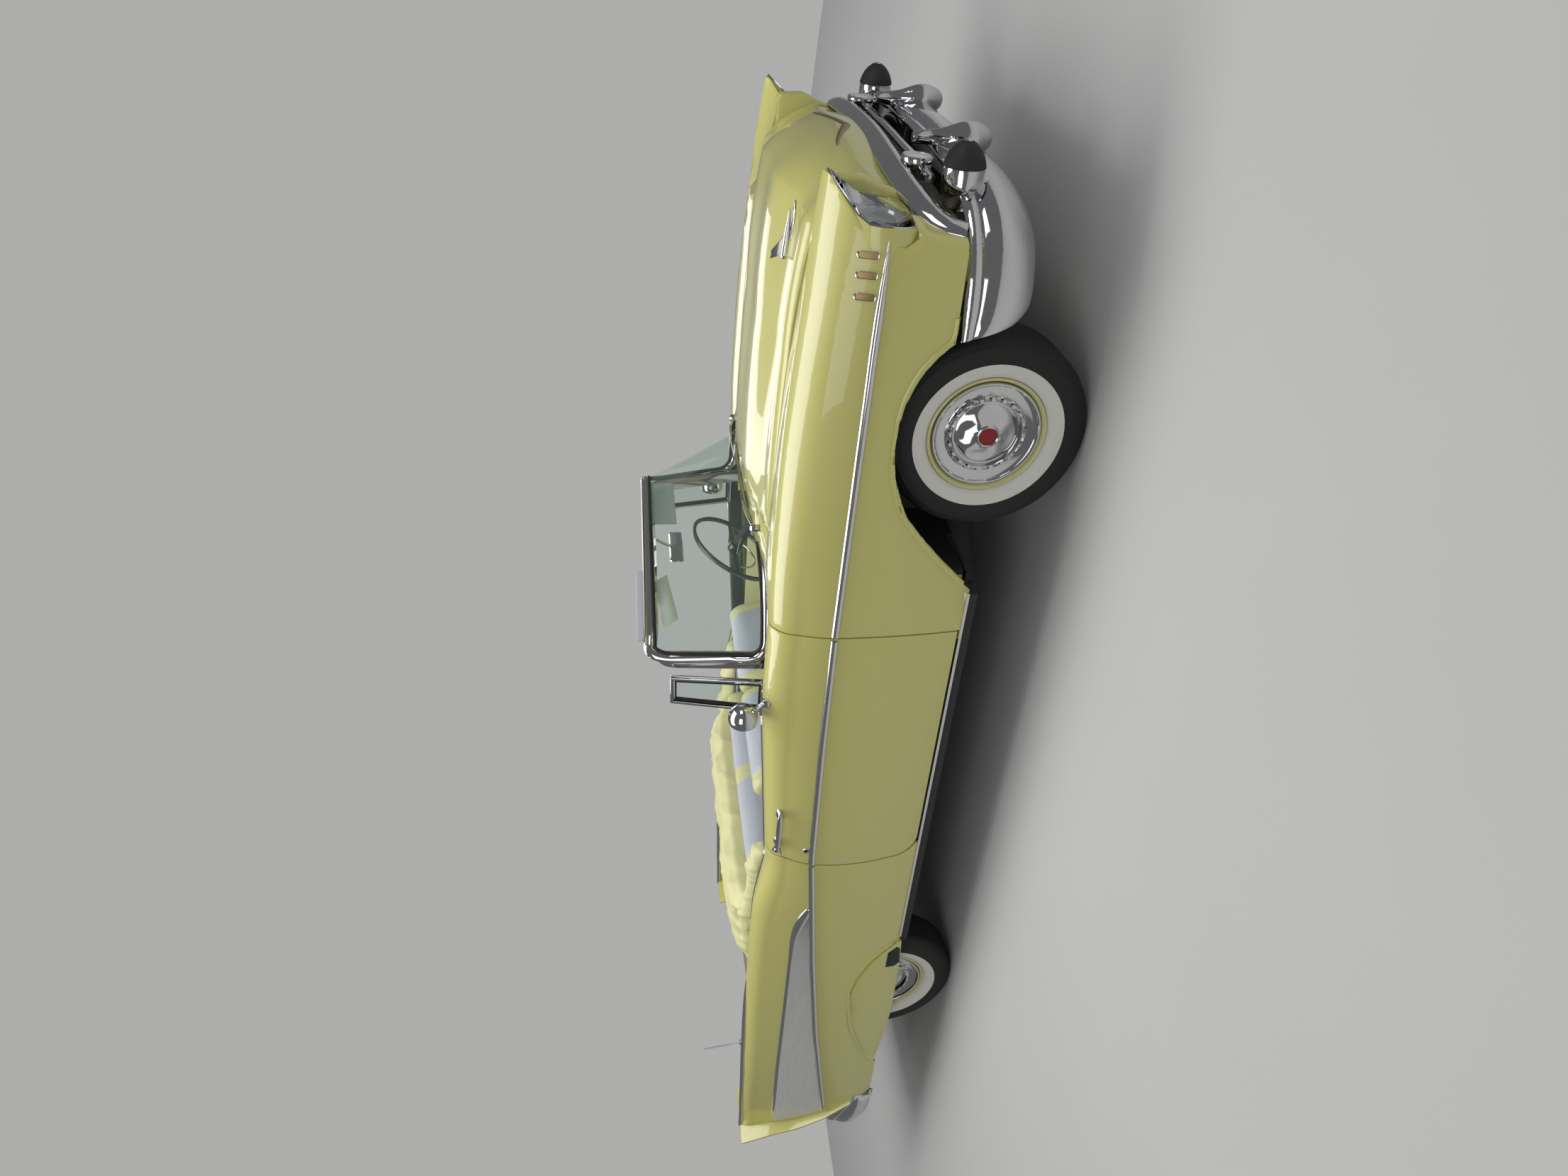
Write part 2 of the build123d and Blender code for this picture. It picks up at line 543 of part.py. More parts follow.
def pane_wire(points, z, wall, grow=0.0):
    """A strip along the pane's plan curve at height z. The wall lies inside the curve."""
    (xa, ya), (xb, yb), (xc, yc), (xd, yd) = points
    outer = [(xa, ya - grow), (xb + grow, yb - grow), (xc + grow, yc), (xd + grow, yd)]
    inner = [(xa, ya + wall), (xb - 0.7 * wall, yb + 0.7 * wall)]
    inner += [(xc - wall, yc + 0.3 * wall), (xd - wall, yd)]

    def run(line):
        (x0, y0), (x1, y1), (x2, y2), (x3, _) = line
        a, b, c = Vector(x0, y0, z), Vector(x1, y1, z), Vector(x2, y2, z)
        d, e, f, g = Vector(x3, 0, z), Vector(x2, -y2, z), Vector(x1, -y1, z), Vector(x0, -y0, z)
        corner = (a + c) * 0.5 + Vector(0.30 * (x1 - x0), -0.10 * abs(y0 - y2), 0)
        corner_left = Vector(corner.X, -corner.Y, z)
        return [Edge.make_three_point_arc(a, corner, c), Edge.make_three_point_arc(c, d, e),
                Edge.make_three_point_arc(e, corner_left, g)]

    out_run, in_run = run(outer), run(inner)
    ends = [Edge.make_line(out_run[2] @ 1, in_run[2] @ 1), Edge.make_line(in_run[0] @ 0, out_run[0] @ 0)]
    return Wire(out_run + [ends[0]] + in_run + [ends[1]])


def pane_region(points, z0, z1, grow):
    """Everything behind the pane's plan curve, between two heights."""
    (xa, ya), (xb, yb), (xc, yc), (xd, yd) = points
    shifted = [(xa, ya - grow), (xb + grow, yb - grow), (xc + grow, yc), (xd + grow, yd)]
    wire = pane_wire(shifted, z0, 400)
    ends = [Vector(xa - 200, ya - grow, z0), Vector(xa - 200, -ya + grow, z0)]
    run = wire.edges()[:3]
    start, stop = Vector(xa, ya - grow, z0), Vector(xa, -ya + grow, z0)
    behind = [stop, ends[1], ends[0], start]
    loop = list(run) + [Edge.make_line(a, b) for a, b in zip(behind, behind[1:])]
    return Solid.extrude(Face(Wire(loop)), Vector(0, 0, z1 - z0))


def make_glass():
    return Solid.make_loft([pane_wire(WS_LOW, WS_LOW_Z, GLASS), pane_wire(WS_HIGH, WS_HIGH_Z, GLASS)], True)


FRAME_WIDE = 56.0
LEDGE_Z = 968.3
VENT_LONG = 150.0


def pillar_point(z):
    """Where the pane's end lies at a height."""
    t = (z - WS_LOW_Z) / (WS_HIGH_Z - WS_LOW_Z)
    return [low + t * (high - low) for low, high in zip(WS_LOW[0], WS_HIGH[0])]


def make_windshield_frame():
    """Chrome surround: header over the pane, the two pillars and the bead at its foot."""
    low, high = WS_LOW, WS_HIGH
    head_low = pane_wire(high, WS_HIGH_Z + 0.3, GLASS + 40)
    head_high = pane_wire([(x - 8, y) for x, y in high], WS_HIGH_Z + 30, GLASS + 34)
    header = Solid.make_loft([head_low, head_high], True)
    bead = [(x + 1, y) for x, y in low]
    foot = Solid.make_loft([pane_wire(bead, z, GLASS + 12) for z in (LEDGE_Z, WS_LOW_Z - 0.3)], True)
    wires = []
    for z in (LEDGE_Z, WS_HIGH_Z + 28):
        x, y = pillar_point(z)
        corners = [(x - FRAME_WIDE, y - 6), (x - 0.3, y - 6), (x - 0.3, y + 38), (x - FRAME_WIDE, y + 38)]
        wires.append(Wire.make_polygon([Vector(a, b, z) for a, b in corners], close=True))
    pillar = Solid.make_loft(wires, True)
    return header + foot + pillar + left_of(pillar)


def make_visors():
    """Sun visors behind the header: the passenger's folded up, the driver's hanging down."""
    def slab(inset, z0, z1):
        (xa, ya), (xb, yb), (xc, yc), (xd, yd) = WS_HIGH
        line = [(xa, ya + inset), (xb - 0.7 * inset, yb + 0.7 * inset)]
        line += [(xc - inset, yc + 0.3 * inset), (xd - inset, yd)]
        return Solid.make_loft([pane_wire(line, z, 12) for z in (z0, z1)], True)
    up = slab(GLASS + 42.3, WS_HIGH_Z + 4, WS_HIGH_Z + 58) & moved_box(600, 800, -570, -170, 1300, 1500)
    down = slab(GLASS + 20, WS_HIGH_Z - 122, WS_HIGH_Z) & moved_box(600, 800, 170, 600, 1200, 1500)
    return up + down


def make_vent_window(door):
    """Vent pane in its frame, standing on the door's top edge behind the pillar."""
    z_low, z_high = WS_LOW_Z - 4, WS_HIGH_Z - 62
    x_front = WS_LOW[0][0] - FRAME_WIDE - 12

    def slab(x0, x1, z0, z1, thick):
        def y_at(z):
            return -786 + 74 * (z - z_low) / (z_high - z_low)
        corners = [(x0, z0), (x1, z0), (x1 - 0.07 * (z1 - z0), z1), (x0, z1)]
        face = Face(Wire.make_polygon([Vector(x, y_at(z), z) for x, z in corners], close=True))
        return Pos(0, -thick / 2, 0) * Solid.extrude(face, Vector(0, thick, 0))

    x_rear = x_front - VENT_LONG
    window = slab(x_rear + 18, x_front - 18, z_low + 36, z_high - 20, 60)
    frame = slab(x_rear, x_front, z_low + 4, z_high, 18) - window
    foot = moved_box(x_rear, x_front, -812, -781, z_low - 4, z_low + 20)
    pane = slab(x_rear + 18, x_front - 18, z_low + 36, z_high - 20, 5)
    return (frame + foot + pane - door).solids().sort_by(SortBy.VOLUME)[-1]


def make_cowl(fender):
    """Firewall, the crescent ahead of the windshield, and the pillars that the doors hang from."""
    firewall = moved_box(X_PAN_FRONT + 0.3, X_PAN_FRONT + 12, -600, 600, FLOOR_Z, 984)
    half = SHAFT_HALF + 48
    firewall -= moved_box(X_PAN_FRONT - 20, X_PAN_FRONT + 20, -half, half, FLOOR_Z - 10, 430)
    rows = []
    for y, z in [(-598, 992), (-300, 1024), (0, 1036), (300, 1024), (598, 992)]:
        rows.append(profile_wire(y, [(XF - 800, z - 8, 6), (X_HOOD_REAR - PANEL_GAP, z, 0)], 10))
    top = Solid.make_loft(rows, True) - pane_region(WS_LOW, 900, 1100, 1.3)
    side = moved_box(X_DOOR_FRONT + 6, X_PAN_FRONT, -832, -822, SILL_Z + 9, 970)
    pillar = moved_box(X_DOOR_FRONT + 6, X_DOOR_FRONT + 46, -832, -702, SILL_Z + 9, 946)
    kick = moved_box(X_DOOR_FRONT + 6, X_PAN_FRONT + 12, -712, -702, SILL_Z + 9, 946)
    corner = moved_box(X_PAN_FRONT, X_PAN_FRONT + 12, -832, -590, SILL_Z + 9, 946)
    ledge = moved_box(X_DOOR_FRONT - 340, X_DOOR_FRONT + 46, -780, -702, 930, 968)
    shelf = moved_box(X_DOOR_FRONT + 28, X_PAN_FRONT + 12, -832, -590, 936, 946)
    hinge = moved_box(X_DOOR_FRONT + RUNNING_GAP, X_DOOR_FRONT + 20, -880, -822, 450, 500)
    hinge += moved_box(X_DOOR_FRONT + RUNNING_GAP, X_DOOR_FRONT + 20, -880, -822, 760, 810)
    web = moved_box(X_PAN_FRONT, X_PAN_FRONT + 12, -930, -820, 420, 930) - fender
    web = web.solids().filter_by(lambda part: part.center().Y > -890).sort_by(SortBy.VOLUME)[-1]
    half = side + pillar + kick + corner + ledge + shelf + hinge + web
    lift = moved_box(X_HOOD_REAR - 30, X_HOOD_REAR - 0.9, -420, -380, 1002, 1016)
    return firewall + top + half + left_of(half) + lift + left_of(lift)


# Cabin
def make_dashboard():
    top = LEDGE_Z - 0.4
    dash = side_prism(
        [(XF - 700, top), (XF - 850, top), (XF - 892, top - 30), (XF - 872, 840), (XF - 820, 800),
         (XF - 700, 800)], -696, 696)
    dash += pane_region(WS_LOW, top - 12, top, 0) & moved_box(XF - 800, XF, -696, 696, top - 12, top)
    stay = moved_box(XF - 701, X_PAN_FRONT, -560, -480, 820, 900)
    dash += stay + left_of(stay)
    return dash - rod(along_column(0), along_column(800), 24.3)


COLUMN = math.radians(COLUMN_TILT)
HUB = (XF - 1191, Y_DRIVER, 1012.0)
COLUMN_DIR = (math.cos(COLUMN), 0.0, -math.sin(COLUMN))


def along_column(distance):
    return tuple(h + d * distance for h, d in zip(HUB, COLUMN_DIR))


def make_steering_wheel():
    """Two-spoke wheel with its hub and horn ring, turned about the column."""
    rim = Torus(STEERING_WHEEL_RADIUS, 11)
    hub = Cylinder(34, 46)
    spokes = Pos(0, 0, 0) * Box(2 * STEERING_WHEEL_RADIUS, 26, 12)
    ring = Torus(118, 4) & Pos(0, -75, 0) * Box(300, 150, 20)
    wheel = rim + hub + spokes + ring
    plane = Plane(origin=HUB, z_dir=COLUMN_DIR, x_dir=(0, 1, 0))
    return plane * wheel


def make_column():
    tube = rod(along_column(23.3), along_column(760), 24)
    return tube & moved_box(HUB[0] - 20, X_PAN_FRONT, 0, 800, 300, 1200)


def soft_slab(x0, x1, y0, y1, z0, z1, lean=0.0):
    """A seat cushion's block, leaned back by an angle about its lower front edge."""
    block = moved_box(0, x1 - x0, y0, y1, 0, z1 - z0)
    block = fillet(block.edges().filter_by(Axis.Y), min(x1 - x0, z1 - z0) * 0.24)
    return Pos(x0, 0, z0) * Rot(0, -lean, 0) * block


SEAT_BACK_X = XF - 1715.0
SEAT_HALF = 655.0
SEAT_PIVOT = (SEAT_BACK_X + 53, 610.0)


def make_front_seat():
    """Bench cushion on its base, with the brackets that the folding backs rest on."""
    cushion = soft_slab(SEAT_BACK_X + 136, SEAT_BACK_X + 540, -SEAT_HALF, SEAT_HALF, 430, 590, 5)
    base = moved_box(SEAT_BACK_X - 10, SEAT_BACK_X + 430, -560, -240, FLOOR_Z + 10.3, 469.7)
    return cushion + base + left_of(base)


def make_front_back():
    x = SEAT_BACK_X
    back = side_prism([(x - 8, 470), (x + 108, 470), (x + 6, 1010), (x - 118, 1010)], -SEAT_HALF, -6)
    back = fillet(back.edges().filter_by(Axis.Y).sort_by(Axis.Z)[-2:], 40)
    pivot_x, pivot_z = SEAT_PIVOT
    heel = Pos(pivot_x, -SEAT_HALF / 2, pivot_z) * Rot(90, 0, 0) * Cylinder(pivot_z - 470, SEAT_HALF + 20)
    return back & (heel + moved_box(x - 200, x + 200, -SEAT_HALF, 0, pivot_z, 1100))


def seat_pan_z(x):
    t = (X_STEP - x) / (X_STEP - X_PAN_TOP)
    return STEP_Z + 10.3 + t * (TRUNK_Z - STEP_Z - 10)


def make_rear_seat():
    """Cushion on the sloping seat pan, and the back that leans on the bulkhead."""
    x0, x1 = XR + 672, X_STEP - 6
    cushion = side_prism(
        [(x0, seat_pan_z(x0)), (x1, seat_pan_z(x1)), (x1, 590), (x1 - 30, 612), (x0, 590)], -592, 592)
    back = side_prism(
        [(XR + 560, 560), (XR + 671.7, 560), (XR + 634, 990), (XR + 600, 1016), (XR + 534, 1000)],
        -640, 640)
    pan = [(x, seat_pan_z(x)) for x in (XR + 700, XR + 500)]
    back -= side_prism([(XR + 560, 540), (XR + 700, 540), *pan], -700, 700)
    return cushion + back


DECK_Z = 930.0


# The boot's height across the car, as y and a share of its full height.
BOOT_ROWS = [
    (-690, 0.42), (-670, 0.66), (-630, 0.82), (-540, 0.94), (-300, 1.0),
    (300, 1.0), (540, 0.94), (630, 0.82), (670, 0.66), (690, 0.42),
]


def make_boot():
    """The cover over the folded top: a low dome behind the rear seat with an arm down each side."""
    x0, x1 = X_TRUNK_FRONT + 70, XR + 494
    low = DECK_Z + 0.3
    wires = []
    for y, share in BOOT_ROWS:
        ends = [(x0, low), (x0, 985), (x0 + 150, 1050), (x1 - 160, 1088), (x1 - 30, 1066), (x1, 1000)]
        ends.append((x1, low))
        wires.append(Wire.make_polygon([Vector(x, y, low + (z - low) * share) for x, z in ends], close=True))
    dome = Solid.make_loft(wires, True)
    arm = side_prism(
        [(x1 - 10, 960), (x1 - 10, 1030), (X_DOOR_REAR - 330, 985), (X_DOOR_REAR - 130, 960),
         (X_DOOR_REAR - 130, 940.3), (X_DOOR_REAR - 400, 940.3)], -764, -664)
    return dome + arm + left_of(arm)


def make_well():
    """The inner walls beside and behind the rear seat, and the deck under the boot."""
    x_back = XR + 412
    wall = moved_box(x_back, X_DOOR_REAR + 8, -778, -766, FLOOR_Z + 12, 928)
    shelf = moved_box(XR + 494.3, X_DOOR_REAR + 8, -778, -650, 928, 940)
    post = moved_box(X_DOOR_REAR - 6 - 30, X_DOOR_REAR - 6, -890, -766, FLOOR_Z + 12.3, 900)
    bulkhead = moved_box(x_back - 12, x_back, -778, 778, TRUNK_Z + 12, DECK_Z)
    deck = moved_box(X_TRUNK_FRONT + PANEL_GAP, x_back, -630, 630, DECK_Z - 12, DECK_Z)
    leg = moved_box(x_back - 12, x_back, -580, 580, TRUNK_Z + 0.3, TRUNK_Z + 20)
    lift = moved_box(X_TRUNK_FRONT + 1.5, X_TRUNK_FRONT + 30, -400, -360, DECK_Z - 5, 954)
    side = wall + shelf + lift
    return side + left_of(side) + bulkhead + deck + leg


# Ends
def band_wire(x, y, heading, z_low, z_high, deep, wall):
    """One upright section across a bumper's run: a bowed face and the same bow behind it."""
    out = Vector(math.cos(heading), math.sin(heading), 0)
    base = Vector(x, y, 0)

    def at(n, z):
        return base + out * n + Vector(0, 0, z)
    tall = z_high - z_low
    zm, z_step = z_low + 0.42 * tall, z_low + 0.78 * tall
    face = [at(-deep, z_low), at(0, zm), at(-0.26 * deep, z_step)]
    face += [at(-0.36 * deep, z_step + 0.02 * tall), at(-0.55 * deep, z_high)]
    back = [at(-deep - 0.3 * wall, z_low + wall * 0.6), at(-wall, zm)]
    back.append(at(-0.55 * deep - wall, z_high - wall * 0.6))
    bulge_low = (face[0] + face[1]) * 0.5 + out * 0.22 * deep
    bulge_high = (face[1] + face[2]) * 0.5 + out * 0.10 * deep
    roll = (face[3] + face[4]) * 0.5 + out * 0.17 * deep
    hollow_low = (back[0] + back[1]) * 0.5 + out * 0.20 * deep
    hollow_high = (back[1] + back[2]) * 0.5 + out * 0.14 * deep
    edges = [
        Edge.make_three_point_arc(face[0], bulge_low, face[1]),
        Edge.make_three_point_arc(face[1], bulge_high, face[2]),
        Edge.make_line(face[2], face[3]),
        Edge.make_three_point_arc(face[3], roll, face[4]),
        Edge.make_line(face[4], back[2]),
        Edge.make_three_point_arc(back[2], hollow_high, back[1]),
        Edge.make_three_point_arc(back[1], hollow_low, back[0]),
        Edge.make_line(back[0], face[0]),
    ]
    return Wire(edges)


# Columns: x, y, heading of the outward face in degrees, low and high edge, depth of the bow.
FRONT_BUMPER_ROWS = [
    (X_NOSE - 62, 0, 0, 330, 512, 62),
    (X_NOSE - 66, -330, -3, 322, 512, 62),
    (X_NOSE - 84, -600, -14, 312, 514, 62),
    (X_NOSE - 150, -800, -38, 306, 516, 60),
    (X_NOSE - 262, -900, -68, 304, 516, 54),
    (X_NOSE - 390, -934, -84, 310, 514, 44),
    (X_NOSE - 505, -938, -90, 352, 508, 30),
]
REAR_BUMPER_ROWS = [
    (X_TAIL + 34, 0, 180, 320, 520, 62),
    (X_TAIL + 30, -400, 181, 316, 520, 62),
    (X_TAIL + 24, -720, 190, 312, 518, 62),
    (X_TAIL + 78, -850, 222, 310, 516, 56),
    (X_TAIL + 200, -915, 252, 308, 510, 46),
    (X_TAIL + 420, -934, 266, 310, 420, 26),
]
BUMPER_WALL = 16.0


def whole_band(rows):
    """The bar from end to end, through its right-hand rows and their mirror images."""
    ordered = [(y, x, a, z0, z1, d) for x, y, a, z0, z1, d in rows]
    half = smooth_rows(ordered, 2 * len(ordered) - 1)
    centre = 2 * ordered[0][2]
    other = [(-y, x, centre - a, z0, z1, d) for y, x, a, z0, z1, d in half[1:]]
    wires = []
    for y, x, a, z0, z1, d in list(reversed(half)) + other:
        wires.append(band_wire(x, y, math.radians(a), z0, z1, d, BUMPER_WALL))
    return Solid.make_loft(wires)


BOMB_Y, BOMB_Z = 660.0, 497.0
BOMB_R = 62.0
GUARD_Y = 318.0
# Level sections of a guard, a rounded lobe with a slim upright over it: height, half depth, half width.
GUARD_ROWS = [
    (318, 14, 10), (334, 34, 26), (372, 50, 38), (414, 50, 36), (452, 38, 26), (490, 27, 16),
    (532, 22, 13), (574, 16, 12),
]


def bullet_face():
    """Half of a bullet's long section: the swelling side, the blunt tip at the origin, and the axis."""
    side = [(0.74 * BOMB_R, -190), (BOMB_R, -100), (0.80 * BOMB_R, -42), (5, 0)]
    curve = Edge.make_spline([Vector(r, 0, z) for r, z in side])
    corners = [curve @ 1, Vector(0, 0, 0), Vector(0, 0, side[0][1]), curve @ 0]
    return Face(Wire([curve] + [Edge.make_line(a, b) for a, b in zip(corners, corners[1:])]))


def make_front_bumper():
    """Wrapped bar with its bullets, uprights and the brackets to the rails."""
    bar = whole_band(FRONT_BUMPER_ROWS)
    tyre_side = [
        (XF + 340, 560), (XF + 353, 511), (XF + 411, 353), (XF + 465, 300), (XF + 300, 300), (XF + 200, 560)]
    bar -= side_prism(tyre_side, -1000, 1000)
    bullet = Pos(X_NOSE, -BOMB_Y, BOMB_Z) * Rot(0, 90, 0) * revolve(bullet_face(), Axis.Z)
    wires = []
    for z, half_deep, half_wide in GUARD_ROWS:
        ring = Pos(X_NOSE - 68, -GUARD_Y, z) * Ellipse(half_deep, half_wide)
        wires.append(ring.face().outer_wire())
    guard = Solid.make_loft(wires)
    bracket = moved_box(XF + 640.3, X_NOSE - 95, -406, -340, 366, 430)
    side = bullet + guard + bracket
    return bar + side + left_of(side)


def make_rear_bumper():
    """Wrapped bar, cut to the slant of the tail, with its guards and the plate's bracket."""
    bar = whole_band(REAR_BUMPER_ROWS)
    edge = [(x - 6, z) for x, z in TAIL_EDGE]
    bar -= side_prism(edge + [(X_TAIL + 500, 1100)], -1000, 1000)
    guard = Pos(X_TAIL + 40, -560, 470) * Box(60, 60, 190)
    guard = fillet(guard.edges().filter_by(Axis.Z), 20)
    bracket = moved_box(X_TAIL + 40, X_TAIL + 219.7, -490, -430, 368, 430)
    plate = moved_box(X_TAIL, X_TAIL + 40, -165, 165, 330, 505)
    for y in (-PLATE_BOLTS / 2, PLATE_BOLTS / 2):
        plate -= Pos(X_TAIL + 20, y, 490) * Rot(0, 90, 0) * Cylinder(3.5, 60)
    side = guard + bracket
    return bar + side + left_of(side) + plate


# Columns: x, y, z along the mouth's chrome edge, from the middle out and down.
MOUTH = [
    (X_NOSE - 106, 0, 732), (X_NOSE - 112, -250, 720), (X_NOSE - 126, -500, 690), (X_NOSE - 156, -700, 650),
    (X_NOSE - 184, -795, 604), (X_NOSE - 194, -826, 566), (X_NOSE - 196, -832, BUMPER_TOP_Z + 2),
]
MOUTH_TALL, MOUTH_DEEP = 62.0, 28.0


def make_grille():
    """Chrome mouth round the opening, the mesh behind it and the bar with its round lamps."""
    path = [Vector(x, -y, z) for x, y, z in reversed(MOUTH)] + [Vector(*point) for point in MOUTH[1:]]
    wires = []
    for i, point in enumerate(path):
        run = path[min(i + 1, len(path) - 1)] - path[max(i - 1, 0)]
        half_tall = MOUTH_TALL / 2 * (0.7 + 0.3 * math.sin(math.pi * i / (len(path) - 1)))
        across = Plane(origin=point, z_dir=run, x_dir=ACROSS - run * (run.X / run.dot(run)))
        ring = across * Ellipse(MOUTH_DEEP / 2, half_tall)
        wires.append(ring.face().outer_wire())
    band = Solid.make_loft(wires)
    mesh = moved_box(X_NOSE - 200, X_NOSE - 190, -826, 826, 530, 606)
    mesh += moved_box(X_NOSE - 200, X_NOSE - 190, -676, 676, 600, 690)
    slope = [(X_NOSE - 200, 680), (X_NOSE - 190, 680), (X_NOSE - 110, 740), (X_NOSE - 132, 740)]
    upper = side_prism(slope, -200, 200)
    bar = rod((X_NOSE - 110, -520, 600), (X_NOSE - 110, 520, 600), 22)
    lamp = Pos(X_NOSE - 120, -470, 600) * Rot(0, 90, 0) * Cylinder(46, 70)
    stay = moved_box(X_NOSE - 195, X_NOSE - 110, -490, -450, 585, 615)
    side = lamp + stay
    return side + left_of(side) + mesh + bar + upper + band


LAMP_Y, LAMP_Z, LAMP_R = -752.0, 748.0, 89.0


def make_headlamp():
    """Bezel that fills the fender's end under the brow, with the round lamp in it."""
    x0 = XF + 602.3
    bezel = Pos(x0 + 90, LAMP_Y, LAMP_Z) * Rot(0, 90, 0) * Cylinder(104, 180)
    bezel += moved_box(x0, x0 + 180, LAMP_Y - 44, LAMP_Y + 62, LAMP_Z, LAMP_Z + 126)
    ahead = [(x + 24, z) for x, z in BROW] + [(X_NOSE + 100, 980), (X_NOSE + 100, 400)]
    bezel -= side_prism(ahead, -1100, -500)
    bezel -= Pos(x0 + 106, LAMP_Y, LAMP_Z) * Rot(0, 90, 0) * Cylinder(LAMP_R, 196)
    lens = Pos(x0 + 7, LAMP_Y, LAMP_Z) * Rot(0, 90, 0) * dome(LAMP_R - 9, 26)
    return bezel + lens


def make_tail_lamp(quarter):
    """Lamp pod on the fender's closing plate under the fin's end, with its round lens facing back."""
    pod = Pos(X_TAIL + 200, -792, 632) * Rot(0, 90, 0) * Cylinder(64, 200)
    lens = Pos(X_TAIL + 101, -792, 632) * Rot(0, -90, 0) * dome(54, 28)
    pod = pod + lens - quarter
    return pod.solids().sort_by(Axis.X)[0]


def make_tail_panel():
    """Lower rear panel between the quarters, and the gutter round the trunk opening."""
    panel = moved_box(X_TAIL + 150, X_TAIL + 162, -840, 840, 430, 553)
    floor = moved_box(X_TAIL + 150, X_TAIL + 329.7, -590, 590, 525, 540)
    return panel + floor


# Wheels
def wheel_frame(x, y):
    """The wheel's own plane, with its axis along the car's width and pointing outboard."""
    return Pos(x, y, AXLE_Z) * Rot(90 if y < 0 else -90, 0, 0)


def make_tyre():
    """A tyre about its own axis, with rounded shoulders and bulged walls."""
    w, r, b = TYRE_WIDTH / 2, TYRE_RADIUS, RIM_RADIUS
    tread = w - 22
    with BuildSketch(Plane.XZ) as section:
        with BuildLine():
            l1 = ThreePointArc((r - 6, -tread), (r, 0), (r - 6, tread))
            l2 = ThreePointArc(l1 @ 1, (r - 20, w - 8), (r - 44, w - 1))
            l3 = ThreePointArc(l2 @ 1, (r - 74, w), (b + 10, w - 22))
            l4 = Line(l3 @ 1, (b + 1, w - 34))
            l5 = Line(l4 @ 1, (b + 1, -(w - 34)))
            l6 = Line(l5 @ 1, (b + 10, -(w - 22)))
            l7 = ThreePointArc(l6 @ 1, (r - 74, -w), (r - 44, -(w - 1)))
            ThreePointArc(l7 @ 1, (r - 20, -(w - 8)), l1 @ 0)
        make_face()
    return revolve(section.sketch, Axis.Z)


HUB_BORE_R = 32.0
# The cap from its centre out, as radius and depth below the tyre's outer face: a raised centre, a
# domed middle, a groove, a raised ring, a dished flat and the rolled edge.
CAP_PROFILE = [
    (0, 7), (29, 8), (31, 5), (36, 5), (38, 9), (62, 12), (80, 17), (92, 24), (101, 32), (108, 35),
    (113, 30), (118, 22), (125, 21), (131, 25), (135, 33), (145, 34), (163, 30), (168, 23), (174, 19),
    (179, 21), (180, 32),
]


def make_wheel():
    """Pressed steel wheel with its full cap: rim, disc and the raised cap with its centre."""
    b, w = RIM_RADIUS, TYRE_WIDTH / 2
    back = [
        (b, -(w - 30)), (b - 4, -(w - 18)), (b - 10, -(w - 30)), (b - 22, -(w - 44)), (b - 26, 0),
        (120, 18), (HUB_BORE_R, 18), (HUB_BORE_R, 30), (0, 30),
    ]
    front = [(r, w - depth) for r, depth in CAP_PROFILE]
    rim = [(b - 12, w - 26), (b - 7, w - 17), (b - 3, w - 15), (b, w - 18), (b, w - 30)]
    profile = back + front + rim
    face = Face(Wire.make_polygon([Vector(r, 0, z) for r, z in profile], close=True))
    return revolve(face, Axis.Z)


def make_knuckle():
    """Upright with its spindle, turned by the steering about a near-upright axis."""
    y_pin = -STEER_AXIS_Y
    y_centre = FRONT_TRACK / 2
    post = rod((XF, y_pin, AXLE_Z - 99.7), (XF, y_pin, AXLE_Z + 96.7), 15)
    spindle = rod((XF, y_pin, AXLE_Z), (XF, -y_centre - 29.7, AXLE_Z), HUB_BORE_R - RUNNING_GAP)
    drum = rod((XF, -y_centre + 24 + DRUM_WIDE, AXLE_Z), (XF, -y_centre + 24, AXLE_Z), 112)
    arm = moved_box(XF - 150, XF, y_pin - 10, y_pin + 10, AXLE_Z - 66, AXLE_Z - 44)
    return post + spindle + drum + arm


def make_front_suspension():
    """Upper and lower arms, coil spring towers and the cross-member, both sides."""
    low_z, high_z = AXLE_Z - 122, AXLE_Z + 97
    y_ball = -STEER_AXIS_Y
    low_arm = [(XF + 30, y_ball), (XF - 30, y_ball), (XF - 170, -420), (XF + 170, -420)]
    high_arm = [(XF + 26, y_ball), (XF - 26, y_ball), (XF - 90, -420), (XF + 90, -420)]
    lower = plan_prism(low_arm, low_z, low_z + 22)
    upper = plan_prism(high_arm, high_z, high_z + 18)
    tower = moved_box(XF - 80, XF + 80, -464, -410.3, low_z, high_z + 60)
    side = lower + upper + tower
    beam = moved_box(XF - 90, XF + 90, -430, 430, 210, 300)
    beam += moved_box(XF - 40, XF + 40, -402, 402, 300, 319.7)
    return side + left_of(side) + beam


def make_rear_axle():
    """Live axle with its differential, drums and leaf springs."""
    half = REAR_TRACK / 2
    tube = rod((XR, -half + 60, AXLE_Z), (XR, half - 60, AXLE_Z), 38)
    diff = Pos(XR, 0, AXLE_Z) * Sphere(128)
    shaft = rod((XR + 110, 0, AXLE_Z), (XF - 860.3, 0, AXLE_Z), 36)
    drum = rod((XR, -half + 84, AXLE_Z), (XR, -half + 16, AXLE_Z), 132)
    stub = rod((XR, -half + 20, AXLE_Z), (XR, -half - 29.7, AXLE_Z), HUB_BORE_R - RUNNING_GAP)
    spring = side_prism(
        [(XR + 620, 262), (XR + 300, 250), (XR, 276), (XR - 300, 272), (XR - 640, 350), (XR - 640, 372),
         (XR - 300, 302), (XR, 306), (XR + 300, 278), (XR + 620, 290)], -590, -530)
    spring += moved_box(XR + 540, XR + 610, -540, -508, 240, 296)
    spring += moved_box(XR - 660, XR - 600, -540, -498.3, 346, 400)
    side = drum + stub + spring
    return tube + diff + shaft + side + left_of(side)


